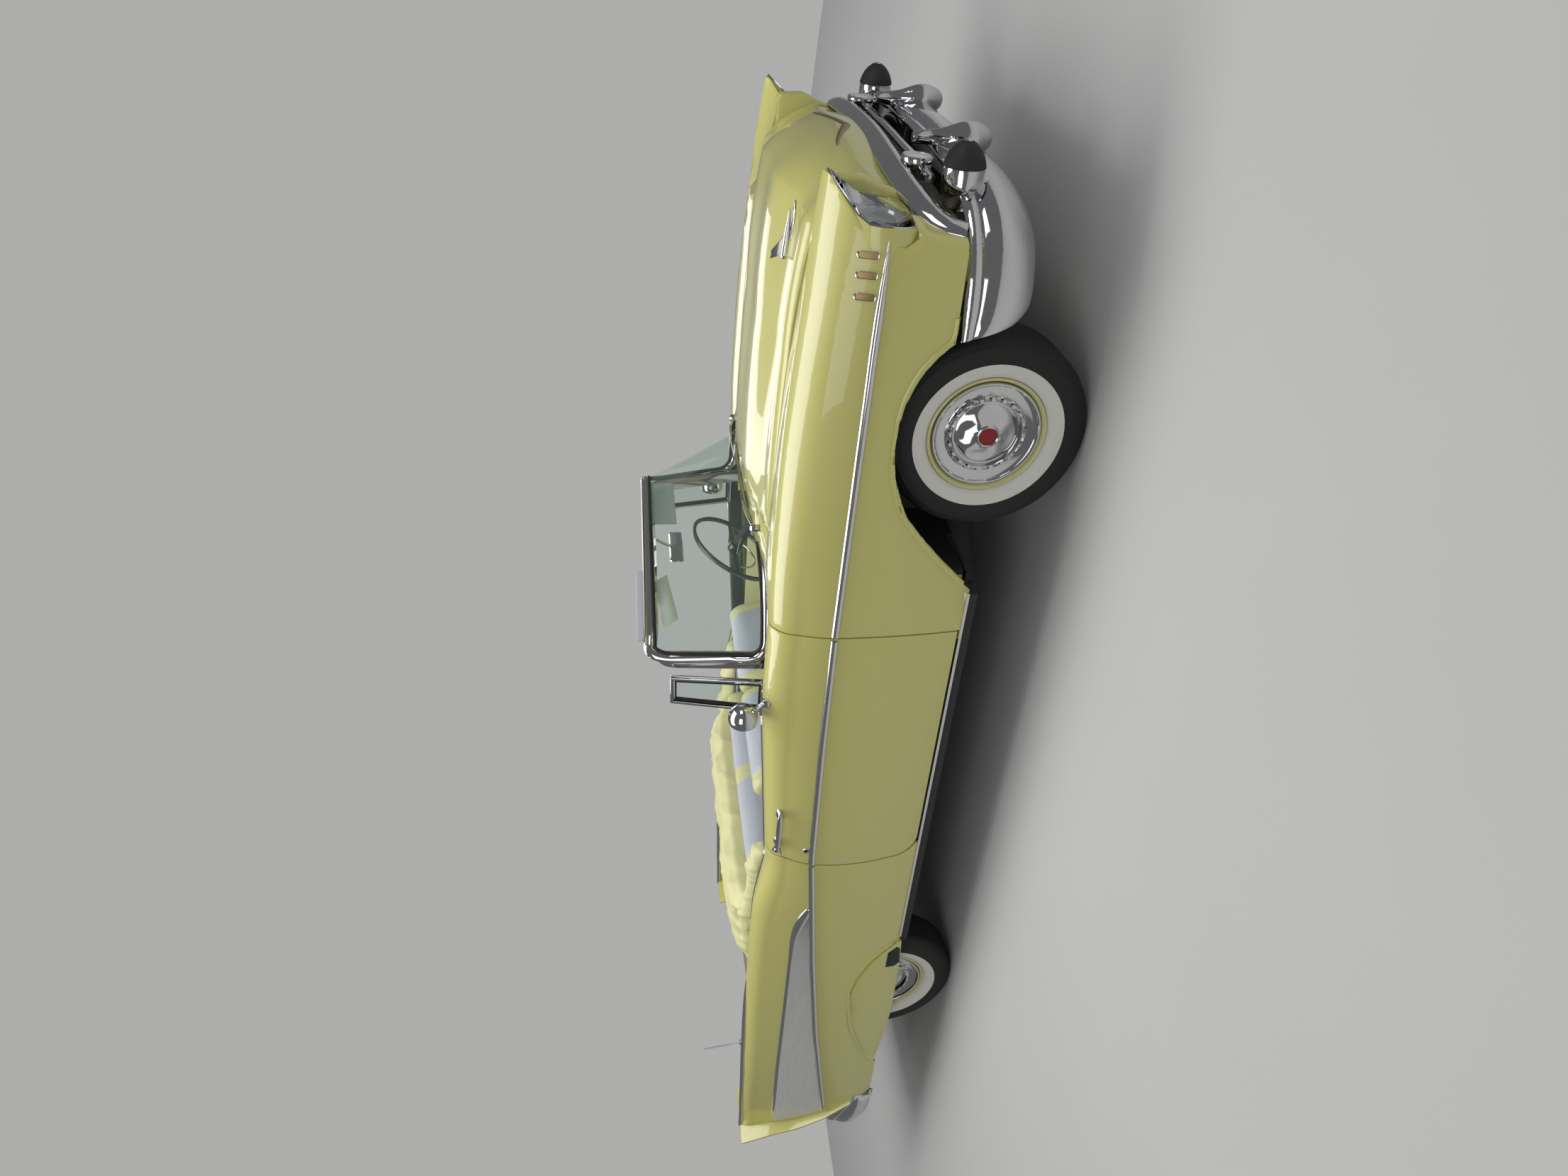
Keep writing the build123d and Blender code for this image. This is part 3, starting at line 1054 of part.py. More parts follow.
def make_engine():
    """V engine with its heads, covers, air cleaner and fan, the gearbox, and the radiator ahead of it."""
    x0, x1 = XF - 400, XF + 200
    block = side_prism([(x0, 420), (x1, 420), (x1, 640), (x1 - 30, 700), (x0, 700)], -170, 170)
    sump = moved_box(XF - 440, XF - 120, -120, 120, 305, 425)
    gearbox = moved_box(XF - 860, x0, -90, 90, 294, 425)
    bell = Pos(x0 - 45, 0, 470) * Rot(0, 90, 0) * Cone(110, 190, 110)
    mount = moved_box(XF - 60, XF + 60, -404, 404, 424.3, 480)
    head = Pos(XF - 90, -165, 705) * Rot(45, 0, 0) * Box(560, 150, 130)
    cover = Pos(XF - 90, -222, 762) * Rot(45, 0, 0) * Box(520, 110, 60)
    cover = fillet(cover.edges(), 14)
    manifold = moved_box(XF - 330, XF + 100, -75, 75, 690, 800)
    cleaner = Pos(XF - 110, 0, 850) * (Cylinder(46, 110) + Pos(0, 0, 22) * Cylinder(150, 56))
    pulley = rod((x1 - 5, 0, 640), (x1 + 100, 0, 640), 34) + rod((x1 + 50, 0, 640), (x1 + 68, 0, 640), 80)
    fan = None
    for turn in (0, 90, 180, 270):
        blade = Pos(x1 + 96, 0, 640) * Rot(turn, 0, 0) * Pos(0, 0, 120) * Rot(0, 0, 28) * Box(6, 70, 180)
        fan = blade if fan is None else fan + blade
    side = head + cover
    unit = block + sump + gearbox + bell + mount + side + left_of(side) + manifold + cleaner + pulley + fan
    radiator = moved_box(XF + 430, XF + 490, -400, 400, 424.3, 860)
    radiator += moved_box(XF + 420, XF + 500, -340, 340, 820, 885)
    return Compound(children=[*unit.solids(), *radiator.solids()])


def make_fuel_tank():
    tank = moved_box(X_TAIL + 350, X_TAIL + 760, -360, 360, 340, TRUNK_Z - 10.3)
    return fillet(tank.edges().filter_by(Axis.Y), 40)


def make_exhaust():
    """Pipe under the X-member to a muffler, then below the axle to the tail."""
    low = 181.7
    run = [(XF - 350, -250, low), (XR + 640, -250, low), (XR + 360, -300, low), (XR - 300, -330, 200),
           (X_TAIL + 280, -400, 262), (X_TAIL + 110, -400, 262)]
    pipe = rod((XR + 890, -250, 236), (XR + 600, -250, 236), 56)
    for a, b in zip(run, run[1:]):
        pipe += rod(a, b, 24) + Pos(*b) * Sphere(24)
    riser = rod((XF - 350, -250, low), (XF - 350, -250, 480), 21.7) + Pos(XF - 350, -250, low) * Sphere(24)
    return pipe + riser


# Small pieces
def make_mirror(door):
    """Round door mirror on its swept stalk."""
    x, y, z = X_DOOR_FRONT - 345, -858, 1000
    base = (Pos(x, y, z + 2) * Cylinder(20, 24) - door).solids().sort_by(Axis.Z)[-1]
    stalk = rod((x, y, z + 8), (x - 60, y - 10, z + 78), 8)
    head = Pos(x - 80, y - 10, z + 84) * Rot(0, 90, 0) * dome(54, 75)
    return Pos(0, 0, RUNNING_GAP) * (base + stalk + head)


def make_ornament(hood):
    """Hood spear: a slim body, with an upright fin at its rear."""
    x, y, z = XF + 490, -378, 962
    body = rod((x - 60, y, z + 10), (x + 110, y, z - 14), 15)
    fin = side_prism([(x - 58, z), (x - 74, z + 50), (x - 40, z + 48), (x + 40, z - 4)], y - 4, y + 4)
    return (body + fin - hood).solids().sort_by(Axis.Z)[-1]


def make_antenna(quarter):
    x, y = XR - 430, -822
    foot = (rod((x, y, 980), (x, y, 1014), 13) - quarter).solids().sort_by(Axis.Z)[-1]
    return rod((x, y, 1010), (x - 36, y, 1190), 3) + foot


def make_wipers(cowl):
    x, y = XF - 560, -461
    return (rod((x, y, 990), (x, y, 1040), 14) - cowl).solids().sort_by(Axis.Z)[-1]


fender = make_fender()
door = make_door()
quarter = make_quarter()
skirt = make_skirt()
hood = make_hood()
cowl = make_cowl(fender)
knuckle = make_knuckle()
seat_back = make_front_back()
vent = make_vent_window(door)
door_mirror = make_mirror(door)
PAIRS = {
    "fender": fender, "door": door, "quarter": quarter, "knuckle": knuckle,
    "seat_back": seat_back, "vent_window": vent, "mirror": door_mirror,
}
PAIRS["door_spear"] = make_door_spear()
for name, shape in PAIRS.items():
    save(f"{name}_right", shape)
    save(f"{name}_left", left_of(shape))
SINGLES = {
    "rear_skirts": both_sides(skirt), "hood": hood, "trunk_lid": make_trunk(), "cowl": cowl,
    "frame": make_frame(), "floor_pan": make_floor(), "wheelhouses": both_sides(make_wheelhouse()),
    "front_aprons": both_sides(make_apron()), "windshield_glass": make_glass(),
    "windshield_frame": make_windshield_frame(), "dashboard": make_dashboard(),
    "steering_wheel": make_steering_wheel(), "steering_column": make_column(),
    "front_seat": make_front_seat(), "rear_seat": make_rear_seat(), "top_boot": make_boot(),
    "cabin_walls": make_well(), "front_bumper": make_front_bumper(), "rear_bumper": make_rear_bumper(),
    "grille": make_grille(), "headlamps": both_sides(make_headlamp()),
    "tail_lamps": both_sides(make_tail_lamp(quarter)), "tail_panel": make_tail_panel(),
    "front_suspension": make_front_suspension(), "rear_axle": make_rear_axle(),
    "engine": make_engine(), "fuel_tank": make_fuel_tank(), "exhaust": make_exhaust(),
    "hood_ornaments": both_sides(make_ornament(hood)), "antenna": make_antenna(quarter),
    "wiper_pivots": both_sides(make_wipers(cowl)), "sun_visors": make_visors(),
    "front_spears": both_sides(make_front_spear()), "rear_trim": both_sides(make_rear_trim()),
}
for name, shape in SINGLES.items():
    save(name, shape)
tyre, wheel = make_tyre(), make_wheel()
WHEELS = [
    # tag, x, y
    ("front_left", XF, FRONT_TRACK / 2), ("front_right", XF, -FRONT_TRACK / 2),
    ("rear_left", XR, REAR_TRACK / 2), ("rear_right", XR, -REAR_TRACK / 2),
]
for tag, wheel_x, wheel_y in WHEELS:
    save(f"tyre_{tag}", wheel_frame(wheel_x, wheel_y) * tyre)
    save(f"wheel_{tag}", wheel_frame(wheel_x, wheel_y) * wheel)
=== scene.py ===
import json
import math

import bmesh
import bpy
from mathutils import Matrix, Vector, noise
from mathutils.bvhtree import BVHTree

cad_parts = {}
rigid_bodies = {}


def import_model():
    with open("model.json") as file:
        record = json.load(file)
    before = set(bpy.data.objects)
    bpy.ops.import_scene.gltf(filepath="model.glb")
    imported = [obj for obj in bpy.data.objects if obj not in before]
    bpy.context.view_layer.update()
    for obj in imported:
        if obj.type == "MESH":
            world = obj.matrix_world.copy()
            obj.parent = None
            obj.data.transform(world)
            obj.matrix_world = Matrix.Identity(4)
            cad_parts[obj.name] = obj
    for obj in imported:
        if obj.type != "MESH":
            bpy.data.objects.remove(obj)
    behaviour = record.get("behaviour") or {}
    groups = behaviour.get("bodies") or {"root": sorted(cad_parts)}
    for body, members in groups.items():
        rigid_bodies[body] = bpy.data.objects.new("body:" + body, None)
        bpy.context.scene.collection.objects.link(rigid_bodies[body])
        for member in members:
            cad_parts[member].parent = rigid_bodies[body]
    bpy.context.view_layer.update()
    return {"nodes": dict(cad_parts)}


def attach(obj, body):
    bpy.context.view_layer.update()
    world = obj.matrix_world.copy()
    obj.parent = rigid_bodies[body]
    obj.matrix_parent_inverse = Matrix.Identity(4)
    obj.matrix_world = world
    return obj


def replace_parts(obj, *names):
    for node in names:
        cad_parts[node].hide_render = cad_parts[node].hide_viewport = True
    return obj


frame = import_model()
nodes = frame["nodes"]
scene = bpy.context.scene

# Body panels: pressed steel, sprayed with pale yellow gloss enamel under a clear coat. The panels
# are the solid model's own; here they get soft edges, smooth shading and their paint.


class Signal:
    """One shader socket. Sums and comparisons on it add Math nodes."""

    def __init__(self, finish, socket):
        self.finish = finish
        self.socket = socket

    def _math(self, operation, first, second):
        return self.finish.node("ShaderNodeMath", {"operation": operation}, {0: first, 1: second})

    def __add__(self, other):
        return self._math("ADD", self, other)

    __radd__ = __add__

    def __sub__(self, other):
        return self._math("SUBTRACT", self, other)

    def __rsub__(self, other):
        return self._math("SUBTRACT", other, self)

    def __mul__(self, other):
        return self._math("MULTIPLY", self, other)

    __rmul__ = __mul__

    def __gt__(self, other):
        return self._math("GREATER_THAN", self, other)

    def __lt__(self, other):
        return self._math("LESS_THAN", self, other)


class Finish:
    """A material, built as one Principled shader and the nodes that vary it."""

    def __init__(self, name, **constants):
        self.material = bpy.data.materials.new(name)
        self.material.use_nodes = True
        self.tree = self.material.node_tree
        self.shader = self.tree.nodes["Principled BSDF"]
        for key, value in constants.items():
            self.feed(key.replace("_", " ").title().replace("Ior", "IOR"), value)

    def node(self, kind, settings, inputs, output=0):
        """Any node: its settings, the values or links of its sockets, and the output to use."""
        node = self.tree.nodes.new(kind)
        for key, value in settings.items():
            if key == "stops":
                ramp = node.color_ramp.elements
                while len(ramp) < len(value):
                    ramp.new(0.5)
                for element, (position, colour) in zip(ramp, value):
                    element.position, element.color = position, colour
            else:
                setattr(node, key, value)
        for key, value in inputs.items():
            self.join(node.inputs[key], value)
        return Signal(self, node.outputs[output])

    def join(self, socket, value):
        if isinstance(value, Signal):
            self.tree.links.new(value.socket, socket)
        else:
            socket.default_value = value

    def feed(self, name, value):
        self.join(self.shader.inputs[name], value)

    def place(self, turn=(0, 0, 0), scale=(1, 1, 1)):
        """Object coordinates, turned and scaled."""
        spot = self.node("ShaderNodeTexCoord", {}, {}, "Object")
        return self.node("ShaderNodeMapping", {}, {"Vector": spot, "Rotation": turn, "Scale": scale})

    def noise(self, scale, detail=2.0, stretch=(1, 1, 1)):
        return self.node(
            "ShaderNodeTexNoise", {}, {"Vector": self.place(scale=stretch), "Scale": scale, "Detail": detail})

    def mix(self, factor, first, second):
        return self.node("ShaderNodeMix", {"data_type": "RGBA"}, {0: factor, 6: first, 7: second}, 2)

    def bump(self, height, strength, distance=0.001):
        normal = self.node("ShaderNodeBump", {},
                           {"Height": height, "Strength": strength, "Distance": distance})
        self.feed("Normal", normal)


def tinted(name, low, high, scale, roughness, spread, stretch=(1, 1, 1), **constants):
    """A finish whose colour and roughness wander a little over the surface."""
    finish = Finish(name, **constants)
    wander = finish.noise(scale, 4.0, stretch)
    finish.feed("Base Color", finish.mix(wander, (*low, 1), (*high, 1)))
    finish.feed("Roughness", wander * spread + (roughness - spread / 2))
    return finish


PAINT_LOW, PAINT_HIGH, PAINT_SCALE = (0.52, 0.496, 0.15), (0.545, 0.518, 0.162), 1.7
COAT, COAT_ROUGHNESS = 0.9, 0.04
enamel = tinted("pale yellow enamel", PAINT_LOW, PAINT_HIGH, PAINT_SCALE, 0.34, 0.06, coat_weight=COAT,
                coat_roughness=COAT_ROUGHNESS)
enamel.bump(enamel.noise(420, 1.0), 0.02)


def dress(node, finish, bevel=0.0, angle=35):
    """Gives a solid of the model its finish, welded, softened at its edges and smoothly shaded."""
    thing = nodes[node]
    thing.data.materials.clear()
    thing.data.materials.append(finish.material)
    weld = thing.modifiers.new("weld", "WELD")
    weld.merge_threshold = 0.00002
    if bevel:
        edge = thing.modifiers.new("edge", "BEVEL")
        edge.width, edge.segments, edge.limit_method = bevel, 2, "ANGLE"
        edge.angle_limit = math.radians(40)
        edge.harden_normals = False
    for face in thing.data.polygons:
        face.use_smooth = True
    split = thing.modifiers.new("split", "EDGE_SPLIT")
    split.split_angle = math.radians(angle)
    return thing


# Near-black: real sealer inside the arches and at the cowl's front, and painted shade on the doors' inner
# faces.
SEALER_AND_PAINTED_SHADE = (0.02, 0.02, 0.019)


def lined_enamel(name, dark_part):
    """Enamel on the seen side of a panel, near-black where dark_part(x, y, z) holds: dark sealer in the
    arches and at the cowl's front, painted shade on the doors' inner faces.
    """
    finish = Finish(name, coat_roughness=COAT_ROUGHNESS)
    spot = finish.node("ShaderNodeTexCoord", {}, {}, "Object")
    inside = dark_part(*(finish.node("ShaderNodeSeparateXYZ", {}, {0: spot}, axis) for axis in range(3)))
    wander = finish.noise(PAINT_SCALE, 4.0)
    paint = finish.mix(wander, (*PAINT_LOW, 1), (*PAINT_HIGH, 1))
    finish.feed("Base Color", finish.mix(inside, paint, (*SEALER_AND_PAINTED_SHADE, 1)))
    finish.feed("Coat Weight", COAT - inside * COAT)
    finish.feed("Roughness", wander * 0.06 + inside * 0.45 + 0.31)
    return finish


# The wheels' places, and the space over a front wheel: its foot, top, front and half width.
SIDES = (("right", -1), ("left", 1))
XF, XR, AXLE_Z = 1.682, -1.239, 0.335
ARCH_FOOT, ARCH_TOP, ARCH_FRONT, ARCH_HALF_WIDTH = 0.33, 0.745, 2.25, 0.889
DOOR_INNER = 0.7915


def within_arch(x, y, z):
    """Inside the fender's sheet, over and beside the wheel."""
    rise = (z - ARCH_FOOT) * 2.19
    ahead = (x - XF) * (x > XF)
    middle = rise * 0.03 + rise * (1 - rise) * 0.036 + ARCH_HALF_WIDTH - ahead * ahead * 0.068
    return (y * y < middle * middle) * (z < ARCH_TOP) * (x < ARCH_FRONT)


fender_enamel = lined_enamel("enamel with sealed inside", within_arch)
cowl_enamel = lined_enamel("enamel with sealed front", lambda x, y, z: (x > 1.15) * (z < 0.93))
dress("cowl", cowl_enamel, 0.0015)
# The doors' inner faces get the near-black as painted shade: a dark coat standing in for the shade that falls
# on them inside the cabin.
door_enamel_painted_shade = lined_enamel("enamel with dark inner face", lambda x, y, z: y * y < DOOR_INNER ** 2)
for side, _ in SIDES:
    dress(f"fender_{side}", fender_enamel, 0.0015)
    dress(f"door_{side}", door_enamel_painted_shade, 0.0015)
    dress(f"quarter_{side}", enamel, 0.0015)
for panel in ("rear_skirts", "hood", "trunk_lid", "tail_panel"):
    dress(panel, enamel, 0.0015)

# Bright trim on the sides: rolled stainless strips clipped along the crease of each panel, a wide
# one round a ribbed aluminium plate on the rear fender, and a cap along the top of each fin.

stainless = tinted("rolled stainless", (0.62, 0.61, 0.59), (0.72, 0.71, 0.69), 30, 0.16, 0.08, metallic=1.0)
stainless.bump(stainless.noise(300, 2.0, (0.05, 1, 1)), 0.015)


def settle(name, mesh, finishes, body="car_body", smooth=35):
    """Turns a bmesh into a piece of the car that rides on a body."""
    data = bpy.data.meshes.new(name)
    bmesh.ops.remove_doubles(mesh, verts=mesh.verts, dist=0.00001)
    mesh.to_mesh(data)
    mesh.free()
    thing = bpy.data.objects.new(name, data)
    scene.collection.objects.link(thing)
    for finish in finishes:
        data.materials.append(finish.material)
    for face in data.polygons:
        face.use_smooth = True
    if smooth:
        split = thing.modifiers.new("split", "EDGE_SPLIT")
        split.split_angle = math.radians(smooth)
    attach(thing, body)
    return thing


def skin_of(*names):
    """A ray target made of the named solids."""
    points, faces = [], []
    for name in names:
        data = nodes[name].data
        base = len(points)
        points += [v.co.copy() for v in data.vertices]
        faces += [[base + i for i in face.vertices] for face in data.polygons]
    return BVHTree.FromPolygons(points, faces)


side_skin = skin_of("fender_right", "door_right", "quarter_right", "rear_skirts")
# Rays at the right side start beside the car and stop short of its middle. OFF_SKIN is where none meets it.
BESIDE, NEAR_SIDE, OVER, OFF_SKIN = -1.5, 0.72, 1.6, -0.9


def side_y(x, z):
    """Where the right side's outer skin lies at x, z, or beside it where there is a seam."""
    for shift in (0, 0.008, -0.008, 0.016, -0.016, 0.03, -0.03):
        spot = hit(side_skin, (x + shift, BESIDE, z), (0, 1, 0), NEAR_SIDE)
        if spot:
            return spot.y
    return OFF_SKIN


def polar(radius, degrees):
    """Across and up, for a radius and an angle."""
    turn = math.radians(degrees)
    return radius * math.cos(turn), radius * math.sin(turn)


def hit(skin, start, way, reach=1.0):
    """Where a ray first meets a skin, or None."""
    return skin.ray_cast(Vector(start), Vector(way), reach)[0]


def follow(curve, x):
    """The height of a polyline of (x, z) points, rising in x, at x."""
    for (xa, za), (xb, zb) in zip(curve, curve[1:]):
        if x <= xb:
            return za + (zb - za) * (x - xa) / (xb - xa)
    return curve[-1][1]


def edge_loop(mesh, points):
    """A closed ring of edges through points."""
    verts = [mesh.verts.new(point) for point in points]
    return [mesh.edges.new(pair) for pair in zip(verts, verts[1:] + verts[:1])]


def ring_strip(mesh, rings):
    """A closed bar through rings of points that all have the same count."""
    loops = [edge_loop(mesh, ring) for ring in rings]
    for first, second in zip(loops, loops[1:]):
        bmesh.ops.bridge_loops(mesh, edges=first + second)
    for loop in (loops[0], loops[-1]):
        bmesh.ops.contextual_create(mesh, geom=loop)
    bmesh.ops.recalc_face_normals(mesh, faces=mesh.faces)


SUNK = Vector((0, 0.004, 0))


def side_bar(mesh, points, half, proud):
    """A half-round strip on the right side through (x, z) points, tapering with half per point."""
    half = half if isinstance(half, list) else [half] * len(points)
    widest = max(half)
    rings = []
    for i, (x, z) in enumerate(points):
        h = half[i]
        before, after = points[max(i - 1, 0)], points[min(i + 1, len(points) - 1)]
        run = Vector((after[0] - before[0], after[1] - before[1])).normalized()
        ring = []
        for t in (0, 30, 65, 90, 115, 150, 180):
            c, s = math.cos(math.radians(t)), math.sin(math.radians(t))
            px, pz = x - run.y * h * c, z + run.x * h * c
            ring.append(Vector((px, side_y(px, pz) - proud * s * h / widest, pz)))
        ring += [ring[-1] + SUNK, ring[0] + SUNK]
        rings.append(ring)
    ring_strip(mesh, rings)


def stations(curve, x0, x1, count):
    """Evenly spaced points of a polyline."""
    return [(x0 + (x1 - x0) * i / (count - 1), follow(curve, x0 + (x1 - x0) * i / (count - 1)))
            for i in range(count)]


def flipped(mesh):
    """Turns everything in a bmesh to the car's other side."""
    bmesh.ops.scale(mesh, vec=(1, -1, 1), verts=mesh.verts)
    bmesh.ops.reverse_faces(mesh, faces=mesh.faces)


def poured(mesh, into):
    """Adds one bmesh to another, and frees it."""
    data = bpy.data.meshes.new("poured")
    mesh.to_mesh(data)
    mesh.free()
    into.from_mesh(data)
    bpy.data.meshes.remove(data)


def on_both_sides(name, build, finishes, body="car_body", smooth=35):
    """A right-hand piece and its mirror image: two pieces if the body's name holds {side}, else one."""
    whole = bmesh.new()
    pieces = []
    for side, sign in SIDES:
        mesh = bmesh.new()
        build(mesh)
        bmesh.ops.recalc_face_normals(mesh, faces=mesh.faces)
        if sign > 0:
            flipped(mesh)
        if "{side}" in body:
            pieces.append(settle(f"{name}_{side}", mesh, finishes, body.format(side=side), smooth))
        else:
            poured(mesh, whole)
    if pieces:
        whole.free()
        return pieces
    return [settle(name, whole, finishes, body, smooth)]


def made(name, build, finishes, body="car_body", smooth=35):
    """One piece, built by a function, with its faces turned outward."""
    mesh = bmesh.new()
    build(mesh)
    bmesh.ops.recalc_face_normals(mesh, faces=mesh.faces)
    return settle(name, mesh, finishes, body, smooth)


SPEAR = [
    (-2.25, 0.556), (-2.169, 0.568), (-1.458, 0.666), (-0.889, 0.724), (-0.198, 0.78),
    (0.431, 0.788), (0.968, 0.787),
    (1.637, 0.775), (2.007, 0.766), (2.273, 0.754), (2.36, 0.751)]
PLATE_TOP = [
    (-2.395, 0.812), (-2.235, 0.819), (-1.767, 0.826), (-1.168, 0.823), (-0.9, 0.822), (-0.742, 0.82),
    (-0.643, 0.808), (-0.56, 0.786), (-0.51, 0.765)]
SPEAR_TALL, SPEAR_PROUD = 0.0135, 0.011
EDGE_FRONT = [(-0.69, 0.8145), (-0.643, 0.806), (-0.6, 0.794), (-0.56, 0.78), (-0.52, 0.764)]


def spear(mesh, x0, x1, count, tail=()):
    """A length of the spear, its last points tapered to the given half heights."""
    half = [SPEAR_TALL] * (count - len(tail)) + list(tail)
    side_bar(mesh, stations(SPEAR, x0, x1, count), half, SPEAR_PROUD)


def plate_edge(mesh):
    """The plate's raised edge, broader where it curves down to the spear."""
    half = [0.0105] * 24 + [0.0125, 0.0145, 0.0175, 0.0205, 0.0215, 0.0205, 0.0145]
    side_bar(mesh, stations(PLATE_TOP, -2.366, -0.742, 26) + EDGE_FRONT, half, 0.009)


front_spear = on_both_sides(
    "spear_front", lambda mesh: spear(mesh, 0.966, 2.322, 26, (0.0115, 0.009, 0.006, 0.002)), [stainless])
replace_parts(front_spear[0], "front_spears")
door_spears = on_both_sides(
    "spear_door", lambda mesh: spear(mesh, -0.22, 0.95, 22), [stainless], "door_{side}")
for (side, _), piece in zip(SIDES, door_spears):
    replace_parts(piece, f"door_spear_{side}")
on_both_sides("spear_rear", lambda mesh: spear(mesh, -2.236, -0.232, 34), [stainless])
rear_edge = on_both_sides("plate_edge", plate_edge, [stainless])
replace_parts(rear_edge[0], "rear_trim")

brushed_plate = tinted("anodised aluminium", (0.58, 0.58, 0.57), (0.66, 0.66, 0.64), 60, 0.45, 0.1,
                       (0.1, 1, 1), metallic=0.25)


PLATE_REAR, PLATE_FRONT, RIB_PEAK, RIB_FOOT = -2.236, -0.535, 0.0042, 0.0018


def ribbed_plate(mesh):
    """The plate between the spear and its upper edge, with fine ribs along the car."""
    long, tall = 60, 56
    bmesh.ops.create_grid(mesh, x_segments=long, y_segments=tall, size=0.5)
    for vert in mesh.verts:
        u, v = vert.co.x + 0.5, round((vert.co.y + 0.5) * tall)
        share = v / tall
        x_rear = PLATE_REAR - 0.132 * share
        x = x_rear + (PLATE_FRONT - x_rear) * u
        low, high = follow(SPEAR, x) + 0.006, max(follow(PLATE_TOP, x) - 0.004, follow(SPEAR, x) + 0.008)
        z = low + (high - low) * share
        y = side_y(x, z)
        vert.co = Vector((x, y - (RIB_PEAK if v % 2 else RIB_FOOT), z))


on_both_sides("ribbed_plate", ribbed_plate, [brushed_plate], smooth=20)

def skin_edge(centre, degrees):
    """The first point of the side's skin met going outward from a wheel's centre."""
    reach = 0.3
    while reach < 0.8:
        across, up = polar(reach, degrees)
        x, z = centre[0] + across, centre[1] + up
        if hit(side_skin, (x, BESIDE, z), (0, 1, 0), NEAR_SIDE):
            break
        reach += 0.002
    return x, z


arch_edge = [skin_edge((XF, AXLE_Z), 24 + 2.6 * i) for i in range(60)]
on_both_sides("arch_lip", lambda mesh: side_bar(mesh, arch_edge, 0.011, 0.007), [enamel])
SKIRT_ARCH = [
    (-1.773, 0.354), (-1.64, 0.415), (-1.499, 0.465), (-1.38, 0.495), (-1.256, 0.514),
    (-1.142, 0.522), (-1.03, 0.503),
    (-0.932, 0.457), (-0.861, 0.386), (-0.822, 0.345)]
skirt_edge = [(x, z + 0.008) for x, z in SKIRT_ARCH]
on_both_sides("skirt_lip", lambda mesh: side_bar(mesh, skirt_edge, 0.008, 0.006), [enamel])


def oval(wide, tall, count=12):
    """An oval cross-section of (across, up) offsets."""
    return [(wide * math.cos(2 * math.pi * i / count), tall * math.sin(2 * math.pi * i / count))
            for i in range(count)]


def sweep(mesh, path, sections, up=(0, 0, 1)):
    """A solid through cross-sections set square to a path. One section serves the whole path."""
    path = [Vector(point) for point in path]
    rings = []
    for i, point in enumerate(path):
        run = (path[min(i + 1, len(path) - 1)] - path[max(i - 1, 0)]).normalized()
        across = run.cross(Vector(up)).normalized()
        over = across.cross(run)
        section = sections[i] if isinstance(sections[0], list) else sections
        rings.append([point + across * a + over * b for a, b in section])
    ring_strip(mesh, rings)


def crest(x):
    """The highest point of the right rear fender at x."""
    best = None
    for i in range(30):
        spot = hit(side_skin, (x, -0.78 - 0.004 * i, OVER), (0, 0, -1))
        if spot and (best is None or spot.z > best.z + 0.0004):
            best = spot
    return best


def fin_cap(mesh):
    """A half-round cap along the fin's crest, thinning out ahead."""
    stops = [-2.468, -2.44, -2.38, -2.3, -2.2, -2.05, -1.9, -1.75, -1.6, -1.45, -1.33, -1.22, -1.15, -1.11]
    path, sections = [], []
    for i, x in enumerate(stops):
        path.append(crest(x) + Vector((0, 0, -0.002)))
        taper = max(0, i - 9)
        sections.append(oval(0.018 - 0.0038 * taper, 0.012 - 0.0022 * taper))
    sweep(mesh, path, sections)


on_both_sides("fin_cap", fin_cap, [stainless])


def sill_strip(mesh):
    """The bright strip under the door, folded in under the sill."""
    path = [(x, side_y(x, 0.345) + 0.02, 0.3265) for x in [-0.78 + 0.19 * i for i in range(11)]]
    sweep(mesh, path, [(-0.022, -0.005), (-0.022, 0.005), (0.022, 0.005), (0.022, -0.005)])


on_both_sides("sill_strip", sill_strip, [stainless])

chrome = tinted("bright plating", (0.6, 0.6, 0.61), (0.66, 0.66, 0.67), 8, 0.06, 0.03, metallic=1.0)
gold = tinted("gold anodised insert", (0.3, 0.22, 0.1), (0.36, 0.27, 0.13), 40, 0.34, 0.08, metallic=0.8)
black_rubber = tinted("black rubber", (0.012, 0.012, 0.012), (0.02, 0.02, 0.019), 25, 0.62, 0.12)


def stud(mesh, outline, steps):
    """A badge on the right skin: an outline of (x, z), and steps of (scale, out, material)."""
    x0 = sum(x for x, _ in outline) / len(outline)
    z0 = sum(z for _, z in outline) / len(outline)
    loops = []
    for scale, out, _ in steps:
        ring = [(x0 + (x - x0) * scale, z0 + (z - z0) * scale) for x, z in outline]
        loops.append(edge_loop(mesh, [(x, side_y(x, z) - out, z) for x, z in ring]))
    for i, (first, second) in enumerate(zip(loops, loops[1:])):
        for face in bmesh.ops.bridge_loops(mesh, edges=first + second)["faces"]:
            face.material_index = steps[i + 1][2]
    for face in bmesh.ops.contextual_create(mesh, geom=loops[-1])["faces"]:
        face.material_index = steps[-1][2]
    bmesh.ops.contextual_create(mesh, geom=loops[0])


def capsule(x, z, wide, tall, count=8):
    """A slot's outline with round ends, upright, about x, z."""
    points = []
    for sign in (1, -1):
        for i in range(count):
            turn = math.pi * i / (count - 1)
            points.append((x + wide * math.cos(turn) * sign,
                           z + (tall - wide + wide * math.sin(turn)) * sign))
    return points


def fender_vents(mesh):
    """Three upright slots with round ends and gilt floors."""
    for x in (2.162, 2.222, 2.277):
        stud(mesh, capsule(x, 0.806, 0.0105, 0.0315),
             [(1, -0.003, 0), (1, 0.003, 0), (0.94, 0.0045, 0), (0.88, 0.004, 0),
              (0.84, 0.002, 1), (0.3, 0.0025, 1)])


on_both_sides("fender_vents", fender_vents, [chrome, gold])


